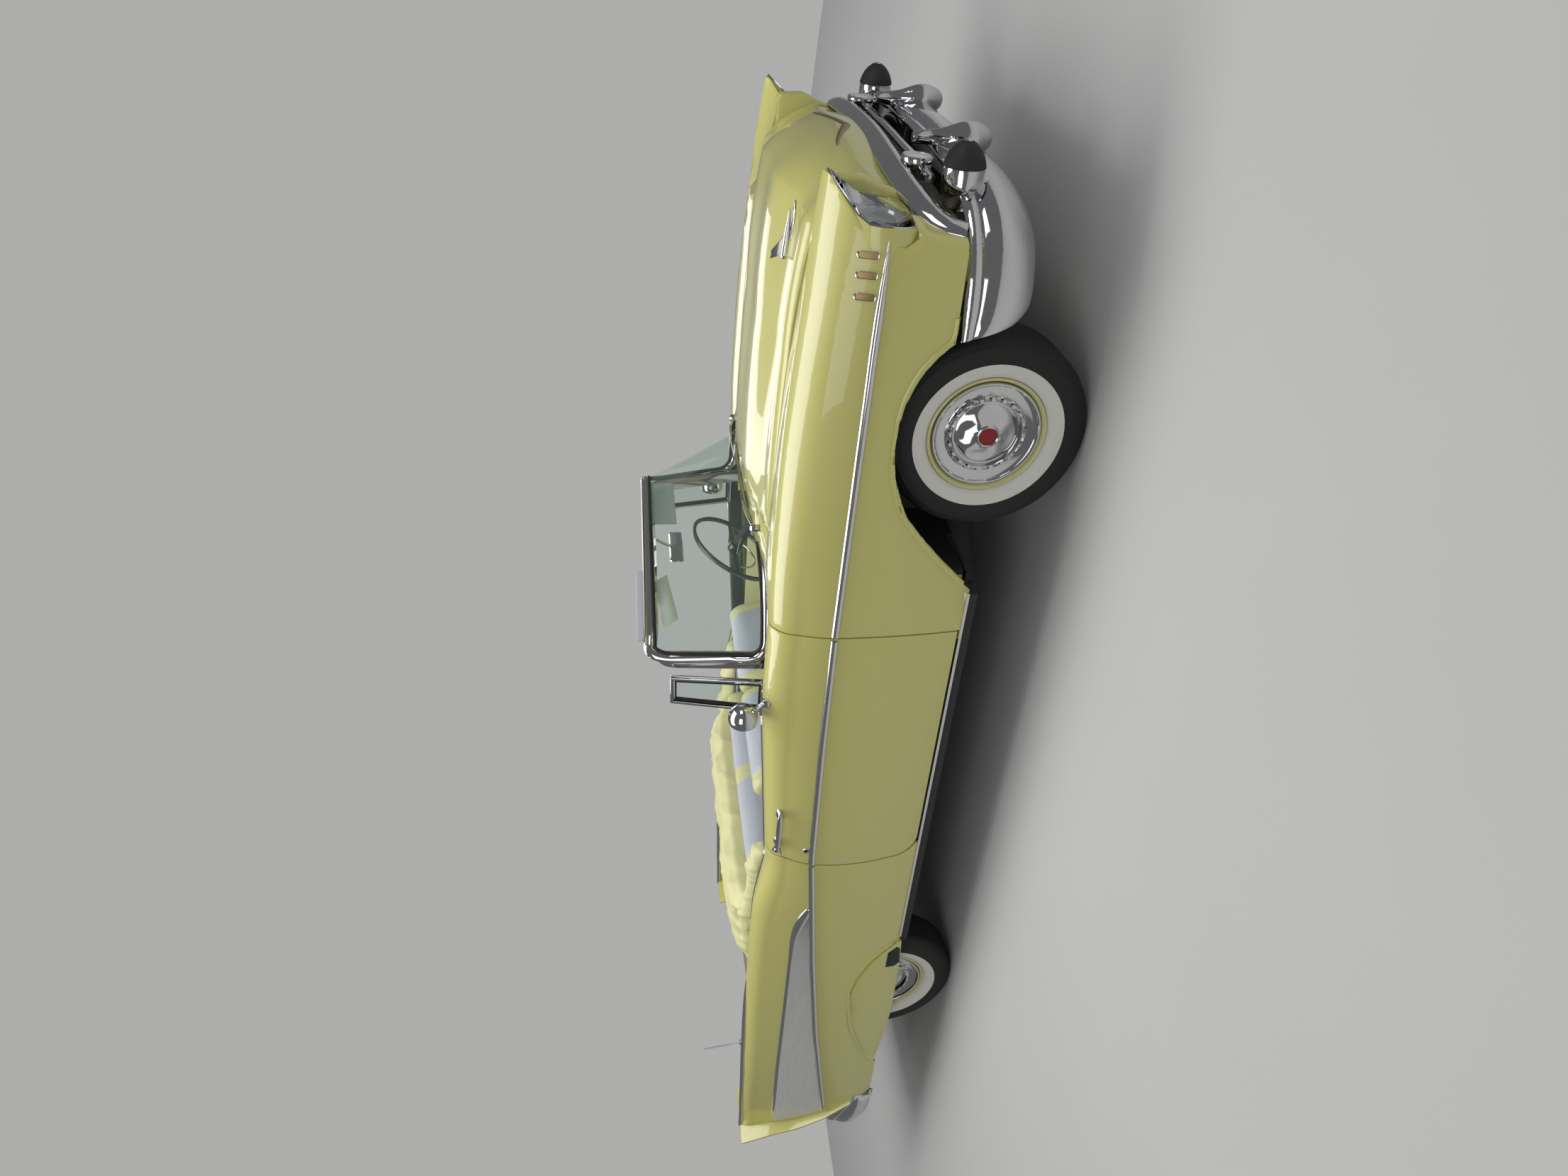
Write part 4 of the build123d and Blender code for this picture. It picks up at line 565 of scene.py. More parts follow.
def door_handle(mesh):
    """A pull shaped like a dart: a finned push button behind, a grip, and a pointed nose."""
    z = 0.925
    stops = [(-0.141, 0.006), (-0.136, 0.012), (-0.124, 0.0125), (-0.118, 0.008),
             (-0.09, 0.0085), (-0.06, 0.01),
             (0.0, 0.0105), (0.04, 0.0095), (0.07, 0.006), (0.089, 0.0015)]
    path = [(x, side_y(x, z) - 0.03 + 0.1 * max(0, x - 0.03), z) for x, _ in stops]
    sweep(mesh, path, [oval(r * 0.8, r * 1.15, 14) for _, r in stops])
    for x, long in ((-0.105, 0.02), (0.055, 0.024)):
        stops = [(0.004, 1.25), (-0.006, 1.0), (-0.024, 0.75)]
        sweep(mesh, [(x, side_y(x, z) - 0.004 + out, z) for out, _ in stops],
              [oval(long * s, 0.011 * s, 14) for _, s in stops])
    for lean in (-1, 1):
        fin = [(-0.15, z + 0.02 * lean), (-0.112, z + 0.01 * lean), (-0.112, z + 0.006 * lean),
               (-0.142, z + 0.012 * lean)]
        ring_strip(mesh, [[Vector((x, side_y(x, h) - out, h)) for x, h in fin] for out in (0.028, 0.033)])


def door_lock(mesh):
    """The lock's round plate with its dark keyway."""
    ring = [(-0.138 + x, 0.807 + z) for x, z in oval(0.014, 0.014, 16)]
    stud(mesh, ring, [(1, -0.003, 0), (1, 0.002, 0), (0.85, 0.006, 0), (0.6, 0.006, 0),
                      (0.55, 0.004, 0), (0.2, 0.0045, 1)])


on_both_sides("door_handle", door_handle, [chrome], "door_{side}")
on_both_sides("door_lock", door_lock, [chrome, black_rubber], "door_{side}")


def stone_guard(mesh):
    """The rubber sheet on the skirt's lower front corner."""
    outline = [(-0.985, 0.372), (-0.88, 0.372), (-0.845, 0.334), (-0.86, 0.318),
               (-0.96, 0.308), (-0.985, 0.33)]
    stud(mesh, outline, [(1, -0.002, 0), (1, 0.002, 0), (0.96, 0.0035, 0)])


on_both_sides("stone_guard", stone_guard, [black_rubber], "car_body", smooth=60)

# Wheels: cross-ply tyres with a broad white band, painted steel rims, and pressed bright caps with
# a ring of slots and a dished centre. Each is turned about its axle, then set on its hub.

rubber = tinted("tyre rubber", (0.011, 0.011, 0.011), (0.018, 0.018, 0.017), 18, 0.7, 0.14)
rubber.bump(rubber.noise(160, 3.0), 0.05)
white_band = tinted("white rubber", (0.66, 0.65, 0.6), (0.72, 0.71, 0.66), 9, 0.55, 0.1)
rim_paint = tinted("rim enamel", (0.6, 0.58, 0.26), (0.64, 0.62, 0.29), 5, 0.35, 0.06, coat_weight=0.6)
red_plastic = tinted("deep red plastic", (0.24, 0.006, 0.01), (0.3, 0.01, 0.014), 30, 0.5, 0.08)


def turned(mesh, profile, steps, closed=True):
    """Spins a profile of (radius, height) about Z. A profile that ends on the axis isn't closed."""
    verts = [mesh.verts.new((r, 0, z)) for r, z in profile]
    pairs = zip(verts, verts[1:] + verts[:1]) if closed else zip(verts, verts[1:])
    edges = [mesh.edges.new(pair) for pair in pairs]
    bmesh.ops.spin(mesh, geom=verts + edges, cent=(0, 0, 0), axis=(0, 0, 1), angle=2 * math.pi,
                   steps=steps, use_merge=True)
    bmesh.ops.remove_doubles(mesh, verts=mesh.verts, dist=0.00002)
    bmesh.ops.recalc_face_normals(mesh, faces=mesh.faces)


TYRE_WALL = [
    (0.3345, 0.0595), (0.329, 0.0745), (0.323, 0.082), (0.315, 0.088), (0.304, 0.092),
    (0.303, 0.0932), (0.301, 0.0932),
    (0.3, 0.0925), (0.289, 0.0948), (0.276, 0.0958), (0.262, 0.0958), (0.252, 0.0952), (0.2512, 0.096),
    (0.2496, 0.096), (0.2488, 0.095), (0.236, 0.0942), (0.224, 0.0922), (0.213, 0.0885), (0.2045, 0.083),
    (0.199, 0.075), (0.1972, 0.064)]
TREAD_GROOVES = (0.0, 0.0185, 0.0375, 0.054)


def tyre_profile():
    """Half the tread with its grooves and the side wall, and their mirror image."""
    tread = []
    for middle in TREAD_GROOVES:
        for dz, r in ((-0.0028, 0.3348), (-0.0016, 0.3285), (0.0016, 0.3285), (0.0028, 0.3348)):
            if middle + dz >= 0 or middle == 0:
                tread.append((r, middle + dz))
    half = [point for point in tread if point[1] > 0] + TYRE_WALL
    return half + [(r, -z) for r, z in reversed(half)]


RIM = [
    (0.1975, 0.06), (0.199, 0.073), (0.1972, 0.08), (0.193, 0.0815), (0.1885, 0.079),
    (0.184, 0.07), (0.181, 0.062),
    (0.155, 0.04), (0.155, -0.02), (0.172, -0.045), (0.186, -0.06), (0.194, -0.068), (0.197, -0.062)]
CAP = [
    (0, 0.044), (0.13, 0.044), (0.15, 0.052), (0.1785, 0.062), (0.18, 0.068),
    (0.1798, 0.073), (0.177, 0.0765),
    (0.173, 0.0765), (0.1695, 0.0735), (0.168, 0.069), (0.165, 0.0672), (0.156, 0.0655),
    (0.142, 0.0625), (0.136, 0.0612),
    (0.1335, 0.0625), (0.1315, 0.069), (0.1275, 0.0735), (0.1215, 0.075), (0.1165, 0.0735), (0.1125, 0.068),
    (0.1095, 0.062), (0.105, 0.061), (0.101, 0.0635), (0.096, 0.069), (0.088, 0.0745),
    (0.076, 0.08), (0.062, 0.084),
    (0.05, 0.0862), (0.04, 0.087), (0.0375, 0.09), (0.034, 0.0915), (0.0305, 0.09),
    (0.0295, 0.0872), (0.02, 0.0885),
    (0, 0.089)]
SLOTS, SLOT_RING, SLOT_HALF, SLOT_DEEP, CAP_STEPS = 20, (0.117, 0.132), 0.22, 0.0085, 120
HOLLOWS, DOME, HOLLOW_DEEP, EMBLEM_RADIUS = 4, (0.045, 0.1005), 0.012, 0.0295


def shaped_cap(mesh):
    """The cap: slots cut in its raised ring, and four hollows pressed in its dome."""
    turned(mesh, CAP, CAP_STEPS, closed=False)
    for vert in mesh.verts:
        r, turn = vert.co.xy.length, math.atan2(vert.co.y, vert.co.x)
        if SLOT_RING[0] < r < SLOT_RING[1] and vert.co.z > 0.066:
            phase = (turn / (2 * math.pi) * SLOTS) % 1
            if abs(phase - 0.5) < SLOT_HALF:
                vert.co.z -= SLOT_DEEP
        if DOME[0] < r < DOME[1] and vert.co.z > 0.0615:
            hollow = 0.5 - 0.5 * math.cos(HOLLOWS * turn)
            vert.co.z -= HOLLOW_DEEP * hollow ** 0.7 * math.sin(math.pi * (r - DOME[0]) / 0.056)
    for face in mesh.faces:
        middle = face.calc_center_median()
        face.material_index = 1 if middle.xy.length < EMBLEM_RADIUS and middle.z > 0.08 else 0


def set_on_hub(mesh, x, y):
    side = -1 if y < 0 else 1
    seat = Matrix.Translation((x, y, AXLE_Z)) @ Matrix.Rotation(math.radians(-90 * side), 4, "X")
    bmesh.ops.transform(mesh, matrix=seat @ Matrix.Rotation(0.5 + x, 4, "Z"), verts=mesh.verts)


for corner, x, y in (
    ("front_right", XF, -0.7365), ("front_left", XF, 0.7365), ("rear_right", XR, -0.747),
    ("rear_left", XR, 0.747)):
    mesh = bmesh.new()
    turned(mesh, tyre_profile(), 96)
    for face in mesh.faces:
        middle = face.calc_center_median()
        face.material_index = 1 if middle.z > 0.06 and 0.198 < middle.xy.length < 0.2495 else 0
    set_on_hub(mesh, x, y)
    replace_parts(settle(f"tyre_with_band_{corner}", mesh, [rubber, white_band], f"wheel_{corner}"),
                f"tyre_{corner}")
    mesh = bmesh.new()
    turned(mesh, RIM, 72)
    set_on_hub(mesh, x, y)
    rim = settle(f"rim_{corner}", mesh, [rim_paint], f"wheel_{corner}")
    mesh = bmesh.new()
    shaped_cap(mesh)
    set_on_hub(mesh, x, y)
    cap = settle(f"wheel_cap_{corner}", mesh, [chrome, red_plastic], f"wheel_{corner}",
                 smooth=32)
    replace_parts(cap, f"wheel_{corner}")

# Windshield: laminated glass with a faint green tint in a plated surround. The vent panes stand on
# the doors in upright frames with rubber channels, and wipers lie along the foot of the glass.


class Clear(Finish):
    """A finish that lets light through: solid is the share that its own shader keeps."""

    def __init__(self, name, tint, solid, **constants):
        super().__init__(name, **constants)
        through = self.node("ShaderNodeBsdfTransparent", {}, {"Color": tint})
        blend = self.node("ShaderNodeMixShader", {},
                          {0: solid, 1: through, 2: Signal(self, self.shader.outputs[0])})
        self.tree.links.new(blend.socket, self.tree.nodes["Material Output"].inputs[0])


glass = Clear("green tinted glass", (0.95, 0.985, 0.965, 1), 0.06,
              base_color=(0.3, 0.36, 0.33, 1), roughness=0.02)
dress("windshield_glass", glass)
dress("wiper_pivots", chrome)
silver_vinyl = tinted("silver blue vinyl", (0.43, 0.45, 0.5), (0.49, 0.51, 0.56), 12, 0.4, 0.08)
silver_vinyl.bump(silver_vinyl.noise(260, 2.0), 0.08)
dress("sun_visors", silver_vinyl, 0.003)


def bevelled(mesh, edges, width, segments=2):
    bmesh.ops.bevel(mesh, geom=edges, offset=width, segments=segments, profile=0.5,
                    affect="EDGES", material=-1)


def block(mesh, low, high, bevel=0.0, segments=2):
    """A box between two corners, with its edges rounded."""
    low, high = Vector(low), Vector(high)
    verts = bmesh.ops.create_cube(mesh, size=1)["verts"]
    bmesh.ops.scale(mesh, vec=high - low, verts=verts)
    bmesh.ops.translate(mesh, vec=(low + high) / 2, verts=verts)
    if bevel:
        bevelled(mesh, list({edge for vert in verts for edge in vert.link_edges}), bevel, segments)


def window_frame(mesh, outer, wide, deep):
    """A flat frame inside an outline, given its depth by solidifying."""
    corners = [mesh.verts.new(Vector(point) - Vector((0, deep / 2, 0))) for point in outer]
    face = bmesh.ops.contextual_create(mesh, geom=corners)["faces"]
    ring = bmesh.ops.inset_individual(mesh, faces=face, thickness=wide)["faces"]
    bmesh.ops.delete(mesh, geom=face, context="FACES")
    bmesh.ops.recalc_face_normals(mesh, faces=ring)
    away = -1 if sum(one.normal.y for one in ring) > 0 else 1
    bmesh.ops.solidify(mesh, geom=ring, thickness=deep * away)


VENT_X, VENT_Z = (0.5045, 0.654), (1, 1.35)


def vent_corners(inset):
    """The vent pane's outline, in from its frame's outer edge."""
    z0, z1 = VENT_Z[0] + inset, VENT_Z[1] - inset
    points = []
    back, front = VENT_X[0] + inset, VENT_X[1] - inset
    for x, z in ((back, z0), (front, z0), (front - 0.07 * (z1 - z0), z1), (back, z1)):
        points.append((x, -0.786 + 0.074 * (z - 0.998) / 0.352, z))
    return points


def vent_frame(mesh):
    window_frame(mesh, vent_corners(0), 0.018, 0.022)
    block(mesh, (0.503, -0.811, 0.996), (0.655, -0.781, 1.016))
    bevelled(mesh, mesh.edges, 0.003)


on_both_sides("vent_frame", vent_frame, [chrome], "door_{side}", smooth=40)
on_both_sides(
    "vent_seal", lambda mesh: window_frame(mesh, vent_corners(0.0175), 0.007, 0.015),
    [black_rubber], "door_{side}")
on_both_sides(
    "vent_pane", lambda mesh: ring_strip(
        mesh, [[Vector(point) + Vector((0, depth, 0)) for point in vent_corners(0.022)]
               for depth in (-0.0025, 0.0025)]),
    [glass], "door_{side}")
for side, sign in SIDES:
    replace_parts(bpy.data.objects[f"vent_frame_{side}"], f"vent_window_{side}")


# The pane's plan curve at its foot and its head: the pillar end, the bend and the centre, as (x, y).
PANE_LOW = [(0.722, -0.728), (0.922, -0.69), (0.992, -0.59), (1.122, 0.0)]
PANE_HIGH = [(0.692, -0.668), (0.722, -0.64), (0.752, -0.56), (0.794, 0.0)]
PANE_Z = (1.002, 1.412)
# The glass bends at this share of its half width. Its size and corner radii set its border.
BEND, PANE_HALF, PANE_TALL, HEAD_CORNER, FOOT_CORNER = 0.64, 0.86, 0.42, 0.085, 0.065


def arc_point(a, b, c, share):
    """A point on the circle through three plan points, at a share of the way from a to c."""
    (ax, ay), (bx, by), (cx, cy) = a, b, c
    d = 2 * (ax * (by - cy) + bx * (cy - ay) + cx * (ay - by))
    sa, sb, sc = ax * ax + ay * ay, bx * bx + by * by, cx * cx + cy * cy
    ux = (sa * (by - cy) + sb * (cy - ay) + sc * (ay - by)) / d
    uy = (sa * (cx - bx) + sb * (ax - cx) + sc * (bx - ax)) / d
    turns = [math.atan2(y - uy, x - ux) for x, y in (a, b, c)]
    first, last = turns[0], turns[2]
    while abs(last - first) > math.pi:
        last -= math.copysign(2 * math.pi, last - first)
    turn = first + (last - first) * share
    radius = math.hypot(ax - ux, ay - uy)
    return Vector((ux + radius * math.cos(turn), uy + radius * math.sin(turn), 0))


def pane(s, h):
    """A point of the windshield: s from -1 at the right pillar to 1 at the left, h from foot to head."""
    ends = []
    for (a, b, c, d), z in zip((PANE_LOW, PANE_HIGH), PANE_Z):
        if abs(s) > BEND:
            bend = ((a[0] + c[0]) / 2 + 0.3 * (b[0] - a[0]), (a[1] + c[1]) / 2 - 0.1 * abs(a[1] - c[1]))
            spot = arc_point(a, bend, c, (1 - abs(s)) / (1 - BEND))
        else:
            spot = arc_point(c, d, (c[0], -c[1]), 0.5 - abs(s) / (2 * BEND))
        ends.append(Vector((spot.x, math.copysign(spot.y, s), z)))
    return ends[0].lerp(ends[1], h)


def pane_border():
    """The pane's rounded edge as (s, h), all the way round from the right pillar's foot."""
    border = []
    for sx, sh, radius in ((-1, 1, HEAD_CORNER), (1, 1, HEAD_CORNER),
                           (1, -1, FOOT_CORNER), (-1, -1, FOOT_CORNER)):
        rs, rh = radius / PANE_HALF, radius / PANE_TALL
        start = {(-1, 1): 180, (1, 1): 90, (1, -1): 0, (-1, -1): 270}[sx, sh]
        for i in range(9):
            turn = math.radians(start - i * 11.25)
            border.append((sx * (1 - rs) + rs * math.cos(turn), 0.5 + sh * (0.5 - rh) + rh * math.sin(turn)))
        if sh == 1 and sx == -1:
            border += [(-1 + rs + (2 - 2 * rs) * i / 40, 1.0) for i in range(1, 40)]
        if sh == 1 and sx == 1:
            border += [(1.0, 1 - rh - (1 - FOOT_CORNER / PANE_TALL - rh) * i / 8) for i in range(1, 8)]
        if sh == -1 and sx == 1:
            border += [(1 - rs - (2 - 2 * rs) * i / 60, 0.0) for i in range(1, 60)]
        if sh == -1 and sx == -1:
            border += [(-1.0, rh + (1 - HEAD_CORNER / PANE_TALL - rh) * i / 8) for i in range(1, 8)]
    return border


def closed_ring(mesh, rings):
    """A hoop through rings of points, the last joined to the first."""
    loops = [edge_loop(mesh, ring) for ring in rings]
    for first, second in zip(loops, loops[1:] + loops[:1]):
        bmesh.ops.bridge_loops(mesh, edges=first + second)


def round_the_pane(mesh, section, deeper=0.0):
    """A closed moulding round the windshield, from (outward, ahead) offsets. The head is deeper."""
    border = pane_border()
    rings = []
    for i, (s, h) in enumerate(border):
        point = pane(s, h)
        high = max(0.0, min(1.0, (h - 0.8) * 5))
        run = pane(*border[(i + 1) % len(border)]) - pane(*border[i - 1])
        face = (pane(s + 0.004, h) - pane(s - 0.004, h)).cross(pane(s, h + 0.01) - pane(s, h - 0.01))
        face.normalize()
        face *= math.copysign(1, face.x)
        out = run.cross(face).normalized()
        out *= math.copysign(1, out.dot(point - Vector((0.85, 0, 1.2))))
        rings.append([
            point + out * a * (0.7 + 0.3 * high if a > 0.012 else 1) + face * (b
                if b > 0 else b - deeper * high)
            for a, b in section])
    closed_ring(mesh, rings)


def windshield_post(mesh):
    """The bright post behind the surround, rounded over at its head."""
    rings = []
    for z, wide in ((0.969, 0.056), (1.16, 0.055), (1.32, 0.053), (1.35, 0.05), (1.372, 0.042),
                    (1.388, 0.028), (1.396, 0.01)):
        foot, head = PANE_LOW[0], PANE_HIGH[0]
        share = (z - PANE_Z[0]) / (PANE_Z[1] - PANE_Z[0])
        x, y = foot[0] + (head[0] - foot[0]) * share, foot[1] + (head[1] - foot[1]) * share
        rings.append([(x - wide, y - 0.004, z), (x + 0.002, y - 0.004, z), (x + 0.002, y + 0.034, z),
                      (x - wide, y + 0.034, z)])
    ring_strip(mesh, rings)
    bevelled(mesh, mesh.edges, 0.003)


MOULDING = [(-0.005, -0.012), (-0.005, 0.005), (0.001, 0.01), (0.012, 0.0125), (0.024, 0.011), (0.032, 0.006),
            (0.035, -0.002), (0.033, -0.014), (0.02, -0.018), (0.002, -0.018)]
surround = made("windshield_surround", lambda mesh: round_the_pane(mesh, MOULDING, 0.026), [chrome],
                smooth=50)
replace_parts(surround, "windshield_frame")
on_both_sides("windshield_post", windshield_post, [stainless])
header = [pane(-0.86 + 1.72 * i / 30, 1) + Vector((-0.016, 0, 0.0265)) for i in range(31)]
made("header_cap", lambda mesh: sweep(mesh, header, oval(0.026, 0.0035, 14)), [stainless], smooth=50)
bead_section = [(a - 0.01, b) for a, b in oval(0.007, 0.009, 8)]
made("windshield_seal", lambda mesh: round_the_pane(mesh, bead_section), [black_rubber], smooth=0)


def wiper(mesh):
    """An arm from the pivot towards the middle of the car, and its blade on the glass."""
    pivot = Vector((1.122, -0.461, 1.03))
    tip = pane(-0.16, 0.1) + Vector((0.014, 0, 0.006))
    sweep(mesh, [pivot, pivot.lerp(tip, 0.3) + Vector((0.012, 0, 0.014)),
                 pivot.lerp(tip, 0.7) + Vector((0.008, 0, 0.012)), tip],
          [oval(0.008, 0.005, 8), oval(0.0065, 0.004, 8), oval(0.005, 0.003, 8), oval(0.0035, 0.0025, 8)])
    sweep(mesh, [pane(s, h) + Vector((0.01, 0, 0.004)) for s,
                 h in ((-0.48, 0.02), (-0.34, 0.06), (-0.16, 0.09), (0.02, 0.08))],
          oval(0.003, 0.007, 8))
    turned(mesh, [(0, 0.016), (0.01, 0.015), (0.016, 0.009), (0.017, -0.004), (0, -0.004)], 24, closed=False)
    bmesh.ops.translate(mesh, vec=pivot, verts=[vert for vert in mesh.verts if vert.co.length < 0.1])


on_both_sides("wiper", wiper, [chrome])


def mirror_inside(mesh):
    """The rear-view mirror on its stalk from the header."""
    sweep(mesh, [(0.745, 0.075, 1.412), (0.735, 0.075, 1.38), (0.708, 0.075, 1.335), (0.7, 0.075, 1.3)],
          oval(0.006, 0.006, 10))
    case = [(-0.034, 1.268), (-0.037, 1.275), (-0.037, 1.318), (-0.03, 1.326), (0.182, 1.326), (0.189, 1.318),
            (0.189, 1.275), (0.182, 1.268)]
    ring_strip(mesh, [[Vector((0.69 + dx, 0.076 + (y - 0.076) * s, 1.297 + (z - 1.297) * s)) for y, z in case]
                      for dx, s in ((0, 0.94), (0.004, 1), (0.01, 1), (0.018, 0.8))])


made("rear_view_mirror", mirror_inside, [chrome], smooth=40)

card = tinted("white card", (0.78, 0.77, 0.75), (0.82, 0.81, 0.79), 6, 0.6, 0.1)
mesh = bmesh.new()
corners = [(-0.565, 1.368), (-0.28, 1.396), (-0.24, 1.346), (-0.52, 1.31)]
ring_strip(mesh, [[Vector((0.742 - 0.1 * (1.4 - z) * -1 + 0.06 * (0.565 + y) + out, y, z)) for y,
                   z in corners] for out in (0, 0.0015)])
settle("blank_card", mesh, [card], "car_body", smooth=0)

# Front end: the fender's return under each lamp, lamps in tall plated bezels, the plated mouth with
# its dark mesh, bar and parking lamps, and rubber caps on the bumper's bullets.

dress("headlamps", chrome)
dress("front_bumper", chrome, 0.001)
LAMP_Y, LAMP_Z = -0.752, 0.748
# The lip of the right bezel, from the middle of its outer side over the fender's peak and round.
LIP = [
    (2.352, -0.905, 0.74), (2.352, -0.901, 0.775), (2.354, -0.89, 0.808),
    (2.374, -0.867, 0.84), (2.402, -0.838, 0.864),
    (2.43, -0.8, 0.888), (2.45, -0.77, 0.905), (2.464, -0.742, 0.914),
    (2.452, -0.712, 0.9), (2.436, -0.688, 0.88),
    (2.414, -0.669, 0.852), (2.388, -0.658, 0.82), (2.375, -0.654, 0.785),
    (2.371, -0.654, 0.745), (2.368, -0.658, 0.712),
    (2.362, -0.672, 0.686), (2.356, -0.705, 0.668), (2.351, -0.75, 0.66),
    (2.348, -0.8, 0.659), (2.347, -0.846, 0.665),
    (2.348, -0.88, 0.68), (2.35, -0.9, 0.706)]
LAMP_X, LAMP_RADIUS = 2.337, 0.088


def lip_ring(share, out, outward=0.0):
    """Points between the bezel's lip and the lamp's own circle."""
    ring = []
    for x, y, z in LIP:
        away = Vector((0, y - LAMP_Y, z - LAMP_Z)).normalized()
        circle = Vector((LAMP_X, LAMP_Y, LAMP_Z)) + away * LAMP_RADIUS
        ring.append(Vector((x, y, z)).lerp(circle, share) + Vector((out, 0, 0)) + away * outward)
    return ring


def lamp_bezel(mesh):
    """The plated hood over the lamp: a rolled lip, a flat flange, and a channel down to the lamp."""
    ring_strip(mesh, [lip_ring(*step) for step in (
        (0.0, -0.03, -0.004), (0.0, -0.003, 0.0), (0.0, 0.003, -0.0005), (0.0, 0.005, -0.003), (0.14, 0.004),
        (0.26, -0.004), (0.45, -0.022),
        (0.8, -0.02), (1.0, -0.004), (1.0, -0.024))])


fender_skin = skin_of("fender_right")


def lamp_surround(mesh):
    """The fender's painted edge round the bezel: it leaves the fender's skin and turns in at the lip."""
    rings = []
    for (x, y, z), out in zip(LIP, lip_ring(0, 0.001, 0.0012)):
        low = max(0.0, min(1.0, (0.735 - z) / 0.055))
        rings.append([
            fender_skin.find_nearest(Vector((x - 0.085 + 0.078 * low, y, z - 0.062 * low)))[0],
            fender_skin.find_nearest(Vector((x - 0.058 + 0.052 * low, y, z - 0.04 * low)))[0], out])
    for i, ring in enumerate(rings):
        centre = Vector((ring[0].x, LAMP_Y, LAMP_Z))
        ring[0] -= (ring[0] - centre).normalized() * 0.0006
        ring[1] += (ring[1] - centre).normalized() * 0.0006
        ring.insert(2, ring[1].lerp(ring[2], 0.6) + (ring[2] - centre).normalized() * 0.0015)
        ring.append(ring[3] - Vector((0.01, 0, 0)) + (centre - ring[3]).normalized() * 0.008)
        ring.append(ring[1] + (centre - ring[1]).normalized() * 0.012)
        ring.append(ring[0] + (centre - ring[0]).normalized() * 0.01)
    ring_strip(mesh, rings[16:] + rings[:11])


def front_corner(mesh):
    """The rounded painted corner under the lamp, from the fender's side round to the mouth."""
    rings = []
    for z, ahead, rise, full in (
            (0.527, -0.014, 0, 1), (0.56, -0.01, 0, 1), (0.6, -0.005, 0, 1), (0.64, 0.001, 0.004, 1),
            (0.668, 0.004, 0.03, 0.5), (0.67, 0.004, 0.046, -0.2)):
        side = [Vector((x, side_y(x, z + rise) - proud * full, z + rise))
                for x, proud in ((2.21, -0.0006), (2.24, 0.0008), (2.27, 0.002), (2.292, 0.003))]
        edge = side[-1].y
        bend = ((2.322, edge + 0.003), (2.334, edge + 0.013), (2.34, edge + 0.03),
                (2.345, -0.856), (2.35, -0.825),
                (2.356, -0.79))
        front = [Vector((x + ahead, y, z)) for x, y in bend]
        inside = [Vector((2.33, -0.79, z)), Vector((2.3, -0.87, z)), Vector((2.21, -0.89, z))]
        rings.append(side + front + inside)
    ring_strip(mesh, rings)


def cheek(mesh):
    """The rounded painted rib between the lamp and the hood's corner."""
    rows = (
        (0.655, 2.38), (0.68, 2.387), (0.7, 2.396), (0.72, 2.402), (0.74, 2.41), (0.765, 2.421),
        (0.79, 2.429), (0.815, 2.429), (0.838, 2.427),
        (0.858, 2.427), (0.874, 2.425), (0.884, 2.419), (0.89, 2.404), (0.892, 2.38))
    rings = []
    for z, x in rows:
        ring = [Vector((2.286, -0.6545, z)), Vector((x - 0.06, -0.6545, z))]
        ring += [Vector((x - 0.02 + 0.02 * math.sin(math.radians(a)),
                         -0.6345 - 0.02 * math.cos(math.radians(a)), z))
                 for a in range(0, 91, 15)]
        ring += [Vector((x - 0.001, -0.62, z)), Vector((x - 0.004, -0.61, z)),
                 Vector((x - 0.012, -0.6035, z)), Vector((2.286, -0.6035, z))]
        rings.append(ring)
    ring_strip(mesh, rings)


on_both_sides("cheek", cheek, [enamel], smooth=60)
on_both_sides("front_corner", front_corner, [enamel], smooth=60)
on_both_sides("lamp_bezel", lamp_bezel, [chrome], smooth=50)
on_both_sides("lamp_surround", lamp_surround, [enamel], smooth=50)
lens_glass = Clear("clear lens", (0.95, 0.96, 0.96, 1), 0.25, base_color=(0.55, 0.58, 0.6, 1), roughness=0.04)
lens_glass.bump(lens_glass.node("ShaderNodeTexWave", {"bands_direction": "Y"},
                                {"Vector": lens_glass.place(), "Scale": 18.0}), 0.25)


def facing(mesh, x, y, z, ahead=1):
    """Turns a mesh made about Z so that its top looks ahead, or back, at a place."""
    turn = Matrix.Rotation(math.radians(90 * ahead), 4, "Y")
    bmesh.ops.transform(mesh, matrix=Matrix.Translation((x, y, z)) @ turn, verts=mesh.verts)


def lamp_lens(mesh):
    turned(mesh, [(0, 0.034), (0.03, 0.031), (0.058, 0.021), (0.076, 0.006), (0.08, -0.006), (0.074, -0.004),
                  (0.056, 0.016), (0.029, 0.027), (0, 0.03)], 48, closed=False)
    facing(mesh, LAMP_X, LAMP_Y, LAMP_Z)


def lamp_bowl(mesh):
    turned(mesh, [(0, -0.012), (0.04, -0.004), (0.065, 0.012), (0.079, 0.03), (0.086, 0.034), (0.086, 0.02),
                  (0.06, -0.01), (0, -0.024)], 48, closed=False)
    facing(mesh, LAMP_X - 0.022, LAMP_Y, LAMP_Z)


on_both_sides("lamp_lens", lamp_lens, [lens_glass], "car_body", smooth=50)
on_both_sides("lamp_bowl", lamp_bowl, [chrome], smooth=50)

MOUTH = [
    (2.434, 0.0, 0.658), (2.433, -0.13, 0.659), (2.43, -0.25, 0.662),
    (2.425, -0.38, 0.665), (2.414, -0.52, 0.664),
    (2.396, -0.65, 0.653), (2.376, -0.745, 0.632), (2.356, -0.812, 0.598),
    (2.344, -0.845, 0.562), (2.338, -0.857, 0.522)]


